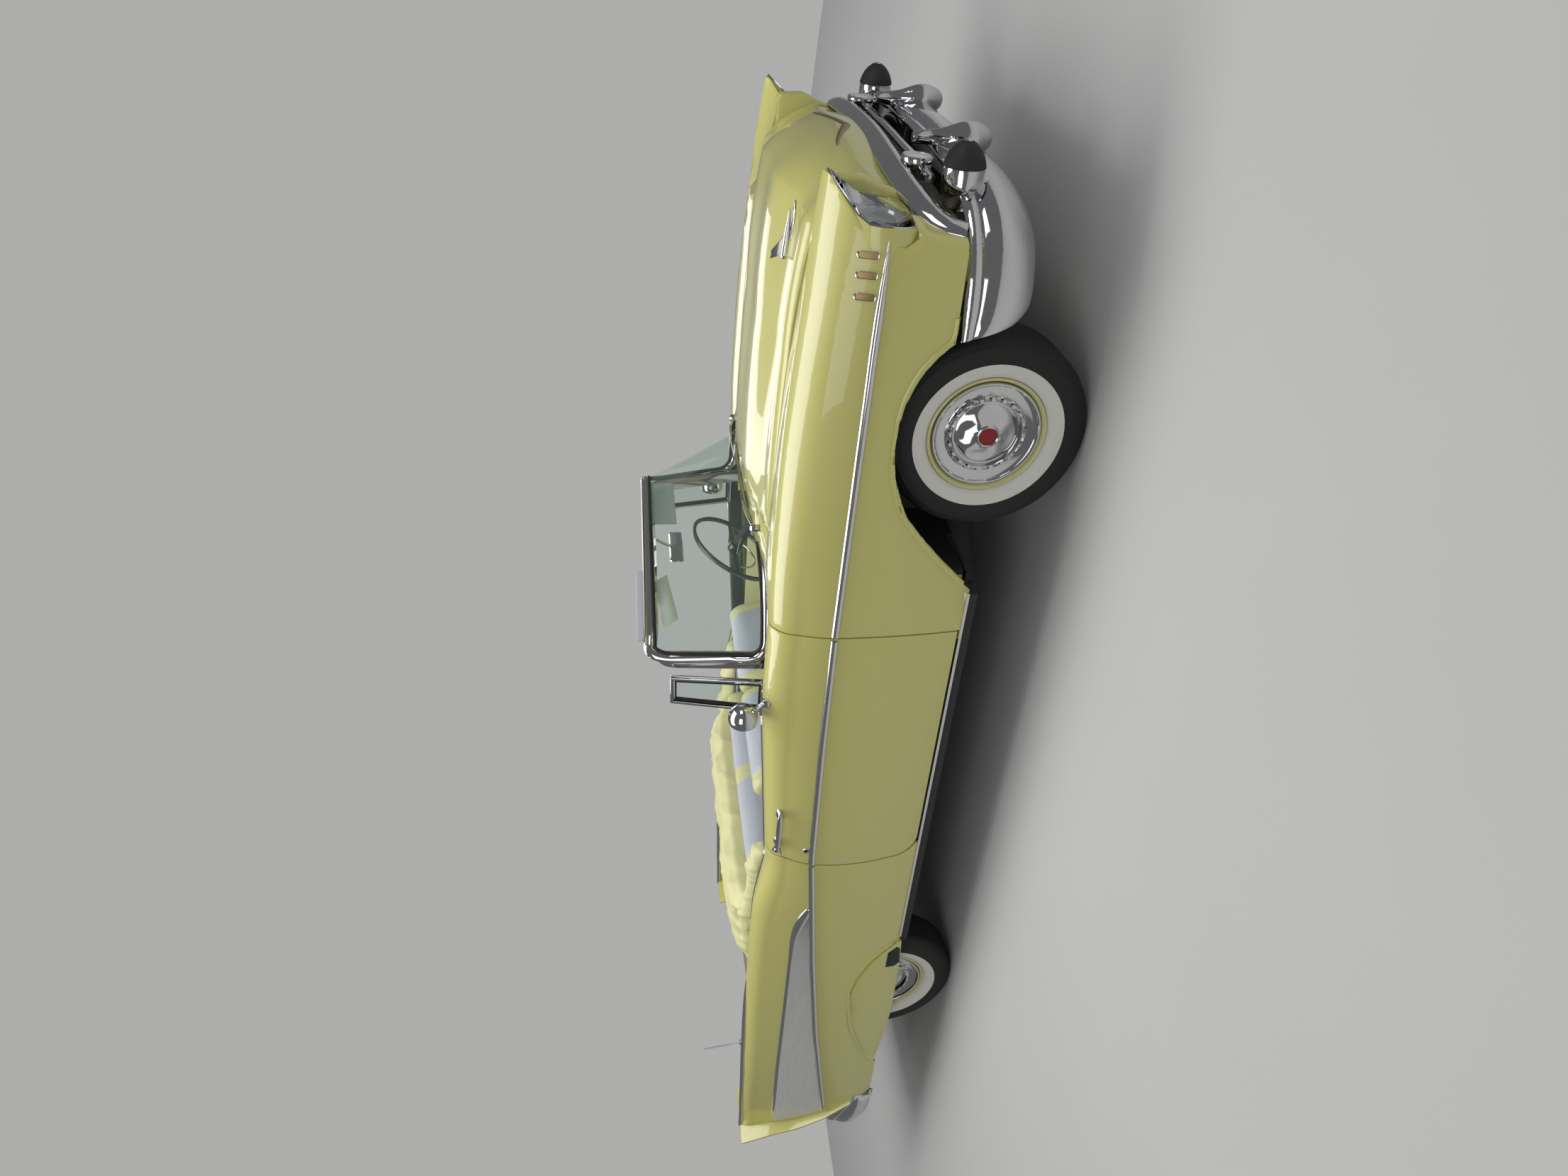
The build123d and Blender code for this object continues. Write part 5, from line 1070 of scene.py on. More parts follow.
def mouth_band(mesh):
    """The broad plated lip from one side of the bumper over to the other, leaning back at its outer edge."""
    path = [Vector((x, -y, z)) for x, y, z in reversed(MOUTH)] + [Vector(point) for point in MOUTH[1:]]
    count = len(path)
    rings = []
    for i, point in enumerate(path):
        run = (path[min(i + 1, count - 1)] - path[max(i - 1, 0)]).normalized()
        out = run.cross(Vector((1, 0, 0))).normalized()
        out *= math.copysign(1, out.dot(point - Vector((point.x, 0, 0.5))))
        half = 0.03 + 0.004 * math.sin(math.pi * i / (count - 1))
        rings.append([point + (out - Vector((0.35, 0, 0))) * half * s + Vector((0.016 * c, 0, 0))
                      for c, s in oval(1, 1, 18)])
    ring_strip(mesh, rings)


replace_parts(made("mouth_band", mouth_band, [chrome], smooth=50), "grille")
hood_skin = skin_of("hood")
AHEAD, NOSE_HALF = 2.7, 0.5965


def nose_panel(mesh):
    """The hood's nose carried down behind the plated lip, from just over the hood's own edge."""
    rings = []
    for i in range(49):
        y = NOSE_HALF * (i / 24 - 1)
        band_x = follow([(b, a) for a, b, _ in reversed(MOUTH)], -abs(y))
        reach = [hit(hood_skin, (AHEAD, y, z), (-1, 0, 0)).x for z in (0.83, 0.8)]
        lean = (reach[1] - reach[0]) / 0.03
        head = reach[1] + 0.001
        line = [Vector((reach[0] - 0.0006, y, 0.83)), Vector((head, y, 0.8))]
        foot = max(band_x - 0.022, reach[1] + 0.002)
        for z in (0.784, 0.768, 0.752, 0.736, 0.72, 0.704, 0.688, 0.674):
            share = (0.8 - z) / 0.126
            bulge = min(lean, 0.5) * 0.126 * share * (1 - share) ** 2
            line.append(Vector((head + bulge + (foot - head) * share, y, z)))
        rings.append(line + [point - Vector((0.005, 0, 0)) for point in reversed(line)])
    ring_strip(mesh, rings)


mesh = bmesh.new()
nose_panel(mesh)
nose_surface = BVHTree.FromBMesh(mesh)
settle("nose_panel", mesh, [enamel], "hood", smooth=60)


def plain_v(mesh):
    """A plain V on the hood's nose, one arm to each side."""
    rows = [(0.003, 0.728), (0.06, 0.745), (0.13, 0.768), (0.2, 0.789), (0.25, 0.8)]
    for sign in (-1, 1):
        path = [(hit(nose_surface, (AHEAD, y * sign, z), (-1, 0, 0)).x, y * sign, z) for y, z in rows]
        sweep(mesh, path, [oval(0.005, h, 10) for h in (0.016, 0.014, 0.011, 0.007, 0.003)])


made("nose_v", plain_v, [gold], "hood", smooth=50)

mesh_finish = Finish("dark mesh", metallic=0.6, roughness=0.45)
across = mesh_finish.node("ShaderNodeTexWave", {"bands_direction": "Y"},
                          {"Vector": mesh_finish.place(), "Scale": 30.0})
upward = mesh_finish.node("ShaderNodeTexWave", {"bands_direction": "Z"},
                          {"Vector": mesh_finish.place(), "Scale": 30.0})
wires = mesh_finish.node("ShaderNodeMath", {"operation": "MAXIMUM"}, {0: across, 1: upward}) > 0.86
mesh_finish.feed("Base Color", mesh_finish.mix(wires, (0.01, 0.01, 0.01, 1), (0.22, 0.2, 0.15, 1)))
mesh = bmesh.new()
back = [(2.35, -0.82, 0.545), (2.354, -0.7, 0.62), (2.366, -0.5, 0.655), (2.38, 0, 0.66)]
rows = [(x, y, z) for x, y, z in back] + [(x, -y, z) for x, y, z in reversed(back[:-1])]
rings = [[Vector((x, y, 0.53)), Vector((x, y, z)), Vector((x - 0.006, y, z)), Vector((x - 0.006, y, 0.53))]
         for x, y, z in rows]
ring_strip(mesh, rings)
settle("mouth_mesh", mesh, [mesh_finish], "car_body", smooth=20)

bar = [(2.414, -0.6, 0.578), (2.424, -0.4, 0.578), (2.428, 0, 0.578),
       (2.424, 0.4, 0.578), (2.414, 0.6, 0.578)]
made("mouth_bar", lambda mesh: sweep(mesh, bar, oval(0.012, 0.017, 16)), [chrome], smooth=50)


def parking_lamp(mesh):
    turned(mesh, [(0, -0.06), (0.03, -0.058), (0.046, -0.03), (0.05, 0.006), (0.047, 0.012),
                  (0.042, 0.01), (0.04, 0.004),
                  (0.03, 0.01), (0, 0.014)], 40, closed=False)
    for face in mesh.faces:
        middle = face.calc_center_median()
        face.material_index = 1 if middle.xy.length < 0.041 and middle.z > 0 else 0
    facing(mesh, 2.44, -0.47, 0.59)


milk_glass = tinted("frosted lamp glass", (0.62, 0.62, 0.58), (0.68, 0.68, 0.64), 30,
                    0.25, 0.06, coat_weight=0.6)
on_both_sides("parking_lamp", parking_lamp, [chrome, milk_glass], smooth=50)


bumper_skin = skin_of("front_bumper")
BULLET = (-0.66, 0.497)


def rubber_cap(mesh):
    """A rubber shell over the front half of the bullet, from the bullet's own surface."""
    rings = []
    ways = [Vector((0, *polar(1, i * 11.25))) for i in range(32)]
    for x, thick in (
            (2.464, 0.0005), (2.4655, 0.003), (2.47, 0.0035), (2.48, 0.0032), (2.492, 0.003), (2.504, 0.0028),
            (2.514, 0.0026), (2.523, 0.0024), (2.53, 0.0022), (2.536, 0.002)):
        centre = Vector((x, *BULLET))
        spots = [hit(bumper_skin, centre + way * 0.002, way, 0.12) for way in ways]
        usual = sorted((spot - centre).length if spot else 0.0 for spot in spots)[16]
        rings.append([centre + way * (usual + thick) for way in ways])
    ring_strip(mesh, rings)


on_both_sides("bullet_cap", rubber_cap, [black_rubber], "car_body", smooth=40)


def hood_ornament(mesh):
    """A dart on the hood: a tapered body, a raked fin at its rear, and a long flat leaf below."""
    y = -0.378
    body = ((2.099, 0.006), (2.101, 0.012), (2.106, 0.015), (2.116, 0.0155), (2.122, 0.014), (2.15, 0.0125),
            (2.19, 0.0095), (2.225, 0.006),
            (2.25, 0.003), (2.258, 0.0008))
    ring_strip(mesh, [[(x, y + c, 0.9665 - (x - 2.099) * 0.06 + s) for c, s in oval(r, r, 15)] for x,
                      r in body])
    fin = [(2.112, 0.974), (2.099, 1.011), (2.124, 1.009), (2.14, 0.996), (2.176, 0.968)]
    ring_strip(mesh, [[(x, y + out * (1 if z < 0.99 else 0.6), z) for x, z in fin]
                      for out in (-0.0035, 0.0035)])
    leaf = ((2.128, 0.004), (2.14, 0.013), (2.165, 0.021), (2.195, 0.024), (2.23, 0.02), (2.258, 0.013),
            (2.276, 0.006), (2.283, 0.001))
    ring_strip(mesh, [[(x, y + half * c, 0.9535 - (x - 2.128) * 0.085 + 0.0045 * s) for c,
                       s in oval(1, 1, 10)] for x, half in leaf])


for ornament in on_both_sides("hood_ornament", hood_ornament, [chrome], "hood", smooth=40):
    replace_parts(ornament, "hood_ornaments")

# Tail: plated lamp pods under the fins with red glass lenses in turned rings, the plated rear bumper,
# and a plain painted plate held on its bracket.

dress("tail_lamps", chrome, 0.001)
dress("rear_bumper", chrome, 0.001)
red_lens = Clear("red lamp glass", (0.55, 0.02, 0.02, 1), 0.8,
                 base_color=(0.42, 0.012, 0.01, 1), roughness=0.12)


def tail_lens(mesh):
    turned(mesh, [(0, 0.03), (0.014, 0.028), (0.03, 0.02), (0.042, 0.008), (0.046, -0.004), (0, -0.004)], 40,
           closed=False)
    facing(mesh, -2.462, -0.792, 0.632, -1)


def tail_ring(mesh):
    turned(mesh, [(0.044, 0.004), (0.052, 0.012), (0.061, 0.004), (0.066, -0.012),
                  (0.066, -0.05), (0.044, -0.05)], 48)
    facing(mesh, -2.458, -0.792, 0.632, -1)


on_both_sides("tail_lens", tail_lens, [red_lens], smooth=50)
on_both_sides("tail_ring", tail_ring, [chrome], smooth=50)


plate_paint = tinted("plain plate", (0.7, 0.7, 0.68), (0.74, 0.74, 0.72), 6, 0.45, 0.08)
made("blank_plate_rear", lambda mesh: block(mesh, (-2.5425, -0.152, 0.352), (-2.5405, 0.152, 0.505), 0.0006),
     [plate_paint])

# Cabin: painted dashboard with round gauges, a two-spoke wheel with a half horn ring, padded door
# trims, pedals, and dark carpet on the floor.

dash_paint = tinted("grey green dash paint", (0.16, 0.18, 0.175), (0.2, 0.22, 0.215), 5,
                    0.38, 0.05, coat_weight=0.5)
dress("dashboard", dash_paint, 0.003)
dress("steering_column", black_rubber, 0.001)
wheel_plastic = tinted("dark green moulded rim", (0.03, 0.052, 0.042), (0.04, 0.066, 0.054), 20,
                       0.3, 0.08, coat_weight=0.5)
HUB, RIM_RADIUS, HORN_RADIUS = Vector((0.491, 0.37, 1.012)), 0.214, 0.12
TILT = Matrix.Translation(HUB) @ Matrix.Rotation(math.radians(-62), 4, "Y")


def steering_rim(mesh):
    """The moulded rim, its two broad spokes, and the hub, in the wheel's tilted plane."""
    middles = [Vector((*polar(RIM_RADIUS, i * 5), 0)) for i in range(72)]
    closed_ring(mesh, [[spot + spot.normalized() * a + Vector((0, 0, b)) for a, b in oval(0.0095, 0.0115)]
                       for spot in middles])
    for turn in (-1, 1):
        sweep(mesh, [(0, 0.03 * turn, 0.0), (0, 0.1 * turn, -0.004), (0, 0.208 * turn, 0)],
              [oval(0.03, 0.009), oval(0.02, 0.008), oval(0.015, 0.008)])
    hub = bmesh.new()
    turned(hub, [(0, -0.024), (0.034, -0.024), (0.036, 0.004), (0.03, 0.012), (0, 0.014)], 32, closed=False)
    poured(hub, mesh)
    bmesh.ops.transform(mesh, matrix=TILT, verts=mesh.verts)


rim = made("steering_rim", steering_rim, [wheel_plastic], "steering_wheel", smooth=50)
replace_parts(rim, "steering_wheel")
mesh = bmesh.new()
arc = [(*polar(HORN_RADIUS, a), 0.012) for a in range(-80, 81, 8)]
sweep(mesh, [(0.02, -0.118, 0.002)] + arc + [(0.02, 0.118, 0.002)], oval(0.0042, 0.0042, 10))
bmesh.ops.transform(mesh, matrix=TILT @ Matrix.Rotation(math.pi, 4, "Z"), verts=mesh.verts)
settle("horn_ring", mesh, [chrome], "steering_wheel", smooth=50)

mesh = bmesh.new()
start = HUB + Vector((math.cos(math.radians(28)), 0, -math.sin(math.radians(28)))) * 0.09
sweep(mesh, [start, start + Vector((0.01, -0.1, 0.03)), start + Vector((0.0, -0.17, 0.045))],
      oval(0.004, 0.004, 8))
settle("shift_lever", mesh, [chrome], smooth=50)

black_face = tinted("gauge face", (0.016, 0.02, 0.018), (0.022, 0.028, 0.025), 30,
                    0.35, 0.08, coat_weight=0.8)
mesh = bmesh.new()
for y, size in ((0.37, 0.072), (0.54, 0.04), (0.2, 0.04)):
    dial = bmesh.new()
    turned(dial, [(0, 0.004), (size * 0.86, 0.004), (size * 0.9, 0.014), (size, 0.01), (size, -0.02),
                  (0, -0.02)], 40, closed=False)
    for face in dial.faces:
        middle = face.calc_center_median()
        face.material_index = 1 if middle.xy.length < size * 0.86 and middle.z > 0 else 0
    facing(dial, 0.792, y, 0.888, -1)
    poured(dial, mesh)
settle("gauges", mesh, [chrome, black_face], smooth=45)

yellow_vinyl = tinted("pale yellow vinyl", (0.56, 0.54, 0.26), (0.62, 0.6, 0.3), 9, 0.42, 0.08)
yellow_vinyl.bump(yellow_vinyl.noise(240, 2.0), 0.08)
dress("cabin_walls", silver_vinyl, 0.002)


def door_trim(mesh):
    """The padded panel inside a door, with its armrest."""
    block(mesh, (-0.15, -0.7905, 0.4), (0.9, -0.7825, 0.9), 0.004)
    block(mesh, (0.05, -0.7835, 0.64), (0.42, -0.73, 0.69), 0.016, 4)
    for z in (0.52, 0.56, 0.78, 0.82):
        sweep(mesh, [(-0.14, -0.7815, z), (0.89, -0.7815, z)], oval(0.0035, 0.0035, 8))


on_both_sides("door_trim", door_trim, [yellow_vinyl], "door_{side}", smooth=40)


CRANK = 0.075


def door_cranks(mesh):
    """The window crank and the door's inner handle, each an arm with a knob."""
    for x, z, turn in ((0.52, 0.6, 0.6), (0.52, 0.74, -2.6)):
        sweep(mesh, [(x, -0.784, z), (x, -0.764, z)], oval(0.016, 0.016, 14))
        far = (x + CRANK * math.cos(turn), z + CRANK * math.sin(turn))
        sweep(mesh, [(x, -0.768, z), (far[0], -0.762, far[1])], oval(0.006, 0.009, 10))
        sweep(mesh, [(far[0], -0.768, far[1]), (far[0], -0.74, far[1])], oval(0.009, 0.009, 12))


on_both_sides("door_cranks", door_cranks, [chrome], "door_{side}", smooth=50)

carpet = tinted("dark carpet", (0.02, 0.02, 0.022), (0.055, 0.055, 0.058), 420, 0.92, 0.06)
carpet.bump(carpet.noise(900, 2.0), 0.5)
dress("floor_pan", carpet)
mesh = bmesh.new()
for x, y, tall, wide in ((0.985, 0.3, 0.075, 0.06), (0.985, 0.42, 0.075, 0.06), (0.96, 0.165, 0.15, 0.055)):
    block(mesh, (x, y - wide / 2, 0.44), (x + 0.012, y + wide / 2, 0.44 + tall), 0.004)
    sweep(mesh, [(x + 0.01, y, 0.47), (x + 0.1, y, 0.58), (x + 0.165, y, 0.66)], oval(0.006, 0.006, 8))
settle("pedals", mesh, [black_rubber], "car_body", smooth=40)

# Seats: a front bench with two folding backs, and a rear bench. Foam under vinyl, silver blue
# inserts between pale yellow bolsters, with piping along their seams. The front base is steel.


PRESSURE, FILL_STEPS = 4, 20


def puffed(name, mesh, voxel, most):
    """Fills a closed form like a cushion: evened out, blown up as cloth by at most so far."""
    data = bpy.data.meshes.new(name)
    mesh.to_mesh(data)
    mesh.free()
    thing = bpy.data.objects.new(name, data)
    scene.collection.objects.link(thing)
    even = thing.modifiers.new("even", "REMESH")
    even.mode, even.voxel_size = "VOXEL", voxel
    thing.data = bpy.data.meshes.new_from_object(thing.evaluated_get(bpy.context.evaluated_depsgraph_get()))
    thing.modifiers.clear()
    start = [vert.co.copy() for vert in thing.data.vertices]
    cloth = thing.modifiers.new("fill", "CLOTH")
    cloth.settings.quality = 4
    cloth.settings.use_pressure = True
    cloth.settings.uniform_pressure_force = PRESSURE
    cloth.settings.effector_weights.gravity = 0
    for step in range(1, FILL_STEPS + 1):
        scene.frame_set(step)
    blown = bpy.data.meshes.new_from_object(thing.evaluated_get(bpy.context.evaluated_depsgraph_get()))
    thing.modifiers.clear()
    scene.frame_set(1)
    thing.data = blown
    for vert, old in zip(blown.vertices, start):
        shift = vert.co - old
        if shift.length > most:
            vert.co = old + shift * (most / shift.length)
    result = bmesh.new()
    result.from_mesh(thing.data)
    bpy.data.objects.remove(thing)
    return result


def rounded(corners, radius, steps=5):
    """A closed outline with its corners turned into curves."""
    points = []
    for before, corner, after in zip(corners[-1:] + corners[:-1], corners, corners[1:] + corners[:1]):
        corner = Vector(corner)
        to_a, to_b = Vector(before) - corner, Vector(after) - corner
        a = corner + to_a.normalized() * min(radius, to_a.length * 0.48)
        b = corner + to_b.normalized() * min(radius, to_b.length * 0.48)
        for i in range(steps + 1):
            t = i / steps
            points.append(a * (1 - t) ** 2 + corner * 2 * t * (1 - t) + b * t * t)
    return points


def bolster(mesh, corners, radius, y0, y1, edge, crown=0.01):
    """A closed pad with a side outline of (x, z) corners, rounded over at both ends."""
    outline = rounded(corners, radius)
    middle = sum(outline, Vector((0, 0))) / len(outline)
    rings = []
    for i in range(33):
        t = i / 32
        t = 0.5 - 0.5 * math.cos(math.pi * t)
        y = y0 + (y1 - y0) * t
        near = min(y - y0, y1 - y)
        pull = edge - math.sqrt(max(edge ** 2 - max(edge - near, 0) ** 2, 0))
        swell = crown * math.sin(math.pi * t) - pull
        ways = [(point - middle).normalized() for point in outline]
        rings.append([Vector((p.x + way.x * swell, y, p.y + way.y * swell)) for p, way in zip(outline, ways)])
    ring_strip(mesh, rings)


def seamed(mesh, seams, width=0.013, deep=0.006):
    """Draws the surface in along upright seams at each y."""
    mesh.normal_update()
    shifts = {}
    for vert in mesh.verts:
        for y in seams:
            off = abs(vert.co.y - y) / width
            if off < 1:
                shifts[vert] = vert.normal * deep * (1 - off * off) ** 2
    for vert, shift in shifts.items():
        vert.co -= shift


def piping(mesh, surface, y, middle, first, last):
    """A welt round a pad at y, from one direction to another, in degrees round its middle."""
    path = []
    for i in range(40):
        turn = math.radians(first + (last - first) * i / 39)
        way = Vector((math.cos(turn), 0, math.sin(turn)))
        spot = hit(surface, Vector((middle[0], y, middle[1])) + way * 0.6, -way, 0.7)
        if spot:
            path.append(spot)
    sweep(mesh, path, oval(0.0038, 0.0038, 8), up=(0, 1, 0.01))


def evened(mesh):
    bmesh.ops.smooth_vert(mesh, verts=mesh.verts, factor=0.5, use_axis_x=True,
                          use_axis_y=True, use_axis_z=True)


def upholster(name, mesh, bands, body, voxel, most, welts):
    """Turns a pad's form into the finished pad: filled, seamed, two-coloured and piped."""
    filled = puffed(name, mesh, voxel, most)
    seams = sorted({y for band in bands for y in band if 0.02 < abs(y) < 0.59})
    evened(filled)
    seamed(filled, seams)
    for face in filled.faces:
        y = face.calc_center_median().y
        face.material_index = 1 if any(low <= y <= high for low, high in bands) else 0
    surface = BVHTree.FromBMesh(filled)
    pad = settle(name, filled, [silver_vinyl, yellow_vinyl], body, smooth=0)
    mesh = bmesh.new()
    for y in seams:
        piping(mesh, surface, y, *welts)
    settle(name + "_piping", mesh, [yellow_vinyl], body, smooth=0)
    return pad


# A pad's side outline, then its corner radius, ends, end rounding and crown; its yellow bands; its
# body; the voxel size and the most it may grow; and its piping's middle and first and last directions.
BACK = [(-0.034, 0.486), (0.066, 0.486), (0.056, 0.62), (-0.028, 0.96), (-0.06, 1), (-0.118, 1),
        (-0.136, 0.96), (-0.06, 0.62)]
BACK_WELTS = ((-0.03, 0.74), -75, 200)
PADS = (
    ("front_cushion", [(0.108, 0.438), (0.488, 0.44), (0.496, 0.575), (0.47, 0.606),
                       (0.3, 0.6), (0.108, 0.58)],
     (0.05, -0.648, 0.648, 0.045), [(-0.66, -0.56), (-0.05, 0.05), (0.56, 0.66)], "car_body", 0.011, 0.012,
     ((0.3, 0.5), -30, 200)),
    ("front_back_right", BACK, (0.045, -0.648, -0.012, 0.04, 0.004), [(-0.66, -0.56), (-0.075, 0)],
     "seat_back_right", 0.011, 0.008, BACK_WELTS),
    ("front_back_left", BACK, (0.045, 0.012, 0.648, 0.04, 0.004), [(0, 0.075), (0.56, 0.66)],
     "seat_back_left", 0.011, 0.008, BACK_WELTS),
    ("rear_cushion", [(-0.56, 0.47), (-0.215, 0.44), (-0.212, 0.57), (-0.245, 0.6), (-0.56, 0.585)],
     (0.045, -0.584, 0.584, 0.04), [(-0.6, -0.5), (0.5, 0.6)], "car_body", 0.012, 0.01,
     ((-0.39, 0.5), -20, 170)),
    ("rear_back", [(-0.672, 0.575), (-0.575, 0.575), (-0.606, 0.96), (-0.64, 1.004),
                   (-0.69, 0.994), (-0.692, 0.9)],
     (0.04, -0.632, 0.632, 0.04, 0.006), [(-0.65, -0.52), (-0.045, 0.045), (0.52, 0.65)],
     "car_body", 0.012, 0.008,
     ((-0.64, 0.78), -60, 150)),
)
STANDS_FOR = {"front_cushion": "front_seat", "front_back_right": "seat_back_right",
              "front_back_left": "seat_back_left", "rear_cushion": "rear_seat"}
for name, corners, form, bands, body, voxel, most, welts in PADS:
    mesh = bmesh.new()
    bolster(mesh, corners, *form)
    pad = upholster(name, mesh, bands, body, voxel, most, welts)
    if name in STANDS_FOR:
        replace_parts(pad, STANDS_FOR[name])

seat_steel = tinted("seat base enamel", (0.3, 0.29, 0.15), (0.34, 0.33, 0.17), 7, 0.45, 0.1)
mesh = bmesh.new()
for sign in (-1, 1):
    low, high = sorted((0.56 * sign, 0.24 * sign))
    block(mesh, (-0.042, low, 0.333), (0.396, high, 0.352), 0.004)
    block(mesh, (-0.02, low + 0.02, 0.35), (0.38, high - 0.02, 0.4685), 0.01)
block(mesh, (0.1, -0.6, 0.425), (0.44, 0.6, 0.445), 0.006)
settle("front_seat_base", mesh, [seat_steel], "car_body", smooth=40)

# Cover over the folded top: one soft vinyl sheet over the padded bundle, creased where it is drawn
# down, with snaps along the belt line. Dark top cloth shows under its front corners.

boot_vinyl = tinted("soft boot vinyl", (0.62, 0.6, 0.3), (0.68, 0.66, 0.35), 6, 0.48, 0.08)
boot_vinyl.bump(boot_vinyl.noise(300, 2.0), 0.06)


# The cover's side arms: place along the car, width and height.
ARM = ((-0.8, 0.096, 0.096), (-0.7, 0.096, 0.088), (-0.6, 0.098, 0.082), (-0.5, 0.102, 0.08),
       (-0.42, 0.104, 0.076), (-0.365, 0.096, 0.058), (-0.335, 0.07, 0.026))


def boot_form(mesh):
    """The bundle behind the rear seat, and an arm forward along each side of it."""
    rings = []
    bundle = [(-1.284, 0), (-1.28, 0.05), (-1.15, 0.11), (-0.98, 0.132), (-0.905, 0.148), (-0.8, 0.138),
              (-0.765, 0.1), (-0.752, 0)]
    half = [(0, 0.95), (0.3, 0.98), (0.54, 0.92), (0.63, 0.8), (0.668, 0.62), (0.683, 0.4)]
    for y, share in [(-y, share) for y, share in reversed(half[1:])] + half:
        rings.append([Vector((x, y, 0.936 + z * share)) for x, z in bundle])
    ring_strip(mesh, rings)
    for sign in (-1, 1):
        rings = []
        for x, wide, tall in ARM:
            rings.append([Vector((x, sign * 0.713 + wide / 2 * c, 0.944 + tall * max(s, 0) ** 0.8))
                          for c, s in oval(1, 1, 16)])
        ring_strip(mesh, rings)


mesh = bmesh.new()
boot_form(mesh)
mesh = puffed("boot", mesh, 0.01, 0.012)
mesh.normal_update()
for vert in mesh.verts:
    if vert.co.z > 0.945:
        spot = vert.co
        height = min((spot.z - 0.94) / 0.05, 1)
        fold = 1 - abs(noise.noise(Vector((spot.x * 6.5 + spot.y * 1.5, spot.y * 3.2, 0.4))))
        crease = 1 - abs(noise.noise(Vector((spot.x * 11, spot.y * 9 + spot.x * 4, 3.1))))
        loose = 1.5 if abs(spot.y) > 0.64 else 1.0
        vert.co += vert.normal * height * loose * (0.016 * (fold ** 4 - 0.6) + 0.008 * (crease ** 6 - 0.5))
evened(mesh)
surface = BVHTree.FromBMesh(mesh)
boot = settle("boot_cover", mesh, [boot_vinyl], "car_body", smooth=0)
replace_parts(boot, "top_boot")
top_cloth = tinted("dark folded cloth", (0.016, 0.016, 0.016), (0.026, 0.026, 0.025), 60, 0.85, 0.08)


def folded_edge(mesh):
    """The folded top's dark edge under the cover's front corner."""
    path = [(-0.745, -0.745, 0.944), (-0.62, -0.752, 0.9455), (-0.5, -0.758, 0.945),
            (-0.4, -0.764, 0.9435), (-0.3, -0.768, 0.942)]
    sweep(mesh, path, [oval(0.016, 0.007, 12)] * 4 + [oval(0.008, 0.004, 12)])


on_both_sides("folded_edge", folded_edge, [top_cloth], "car_body", smooth=0)


def boot_snaps(mesh):
    """Snap caps where the cover is pressed down along the belt and across behind."""
    spots = [(-1.262, -0.1 - 0.13 * i) for i in range(5)] + [(-1.2 + 0.12 * i, -0.675) for i in range(4)]
    for x, y in spots:
        spot = hit(surface, (x, y, 1.4), (0, 0, -1))
        if spot:
            cap = bmesh.ops.create_uvsphere(mesh, u_segments=12, v_segments=6, radius=0.006)["verts"]
            bmesh.ops.transform(mesh, matrix=Matrix.Translation(spot), verts=cap)


on_both_sides("boot_snaps", boot_snaps, [chrome], smooth=0)


# Small bright parts: plated door mirrors, the antenna, and rolled stainless beads with rubber strips
# beside the window slots, laid on the panels' upper edges.

for side, _ in SIDES:
    dress(f"mirror_{side}", chrome, 0.0008, 40)
dress("antenna", chrome)


def above(x, y):
    """The height of the right side's skin under x, y."""
    spot = hit(side_skin, (x, y, OVER), (0, 0, -1))
    return spot.z if spot else 0.95


def bead(mesh, x0, x1, y, wide, tall, count=16):
    """A strip along the top of the right side, at one distance from the car's middle."""
    path = [(x0 + (x1 - x0) * i / (count - 1), y, above(x0 + (x1 - x0) * i / (count - 1), y))
            for i in range(count)]
    sweep(mesh, path, oval(wide, tall, 10))


on_both_sides("door_belt_bead", lambda mesh: bead(mesh, -0.222, 0.5, -0.808, 0.007, 0.005), [stainless],
              "door_{side}", smooth=0)
on_both_sides("door_slot_seal", lambda mesh: bead(mesh, -0.222, 0.5, -0.7965, 0.0045, 0.0035),
              [black_rubber], "door_{side}",
              smooth=0)
on_both_sides("quarter_belt_bead", lambda mesh: bead(mesh, -0.72, -0.262, -0.806, 0.006, 0.0045), [stainless],
              smooth=0)

# Underside and engine bay: black frame, grey sealed pressings, bare steel exhaust, and the engine
# in a dull green enamel. Its belt, rubber hoses and plug leads are swept tubes.

chassis_black = tinted("chassis black", (0.016, 0.016, 0.016), (0.026, 0.025, 0.024), 5, 0.5, 0.14)
undercoat = tinted("grey undercoat", (0.06, 0.06, 0.058), (0.085, 0.085, 0.082), 14, 0.75, 0.12)
undercoat.bump(undercoat.noise(120, 3.0), 0.15)
dark_iron = tinted("dark iron", (0.045, 0.043, 0.041), (0.075, 0.07, 0.066), 9, 0.6, 0.16)
engine_enamel = tinted("engine enamel", (0.06, 0.075, 0.07), (0.085, 0.105, 0.098), 7, 0.42, 0.12)
pipe_steel = tinted("bare steel", (0.3, 0.28, 0.26), (0.42, 0.4, 0.38), 6, 0.42, 0.16, metallic=1.0)
dress("frame", chassis_black, 0.003)
for panel in ("wheelhouses", "front_aprons", "fuel_tank"):
    dress(panel, undercoat, 0.002)
for piece in ("front_suspension", "rear_axle", "knuckle_right", "knuckle_left"):
    dress(piece, dark_iron, 0.002)
dress("engine", engine_enamel, 0.003)
dress("exhaust", pipe_steel)


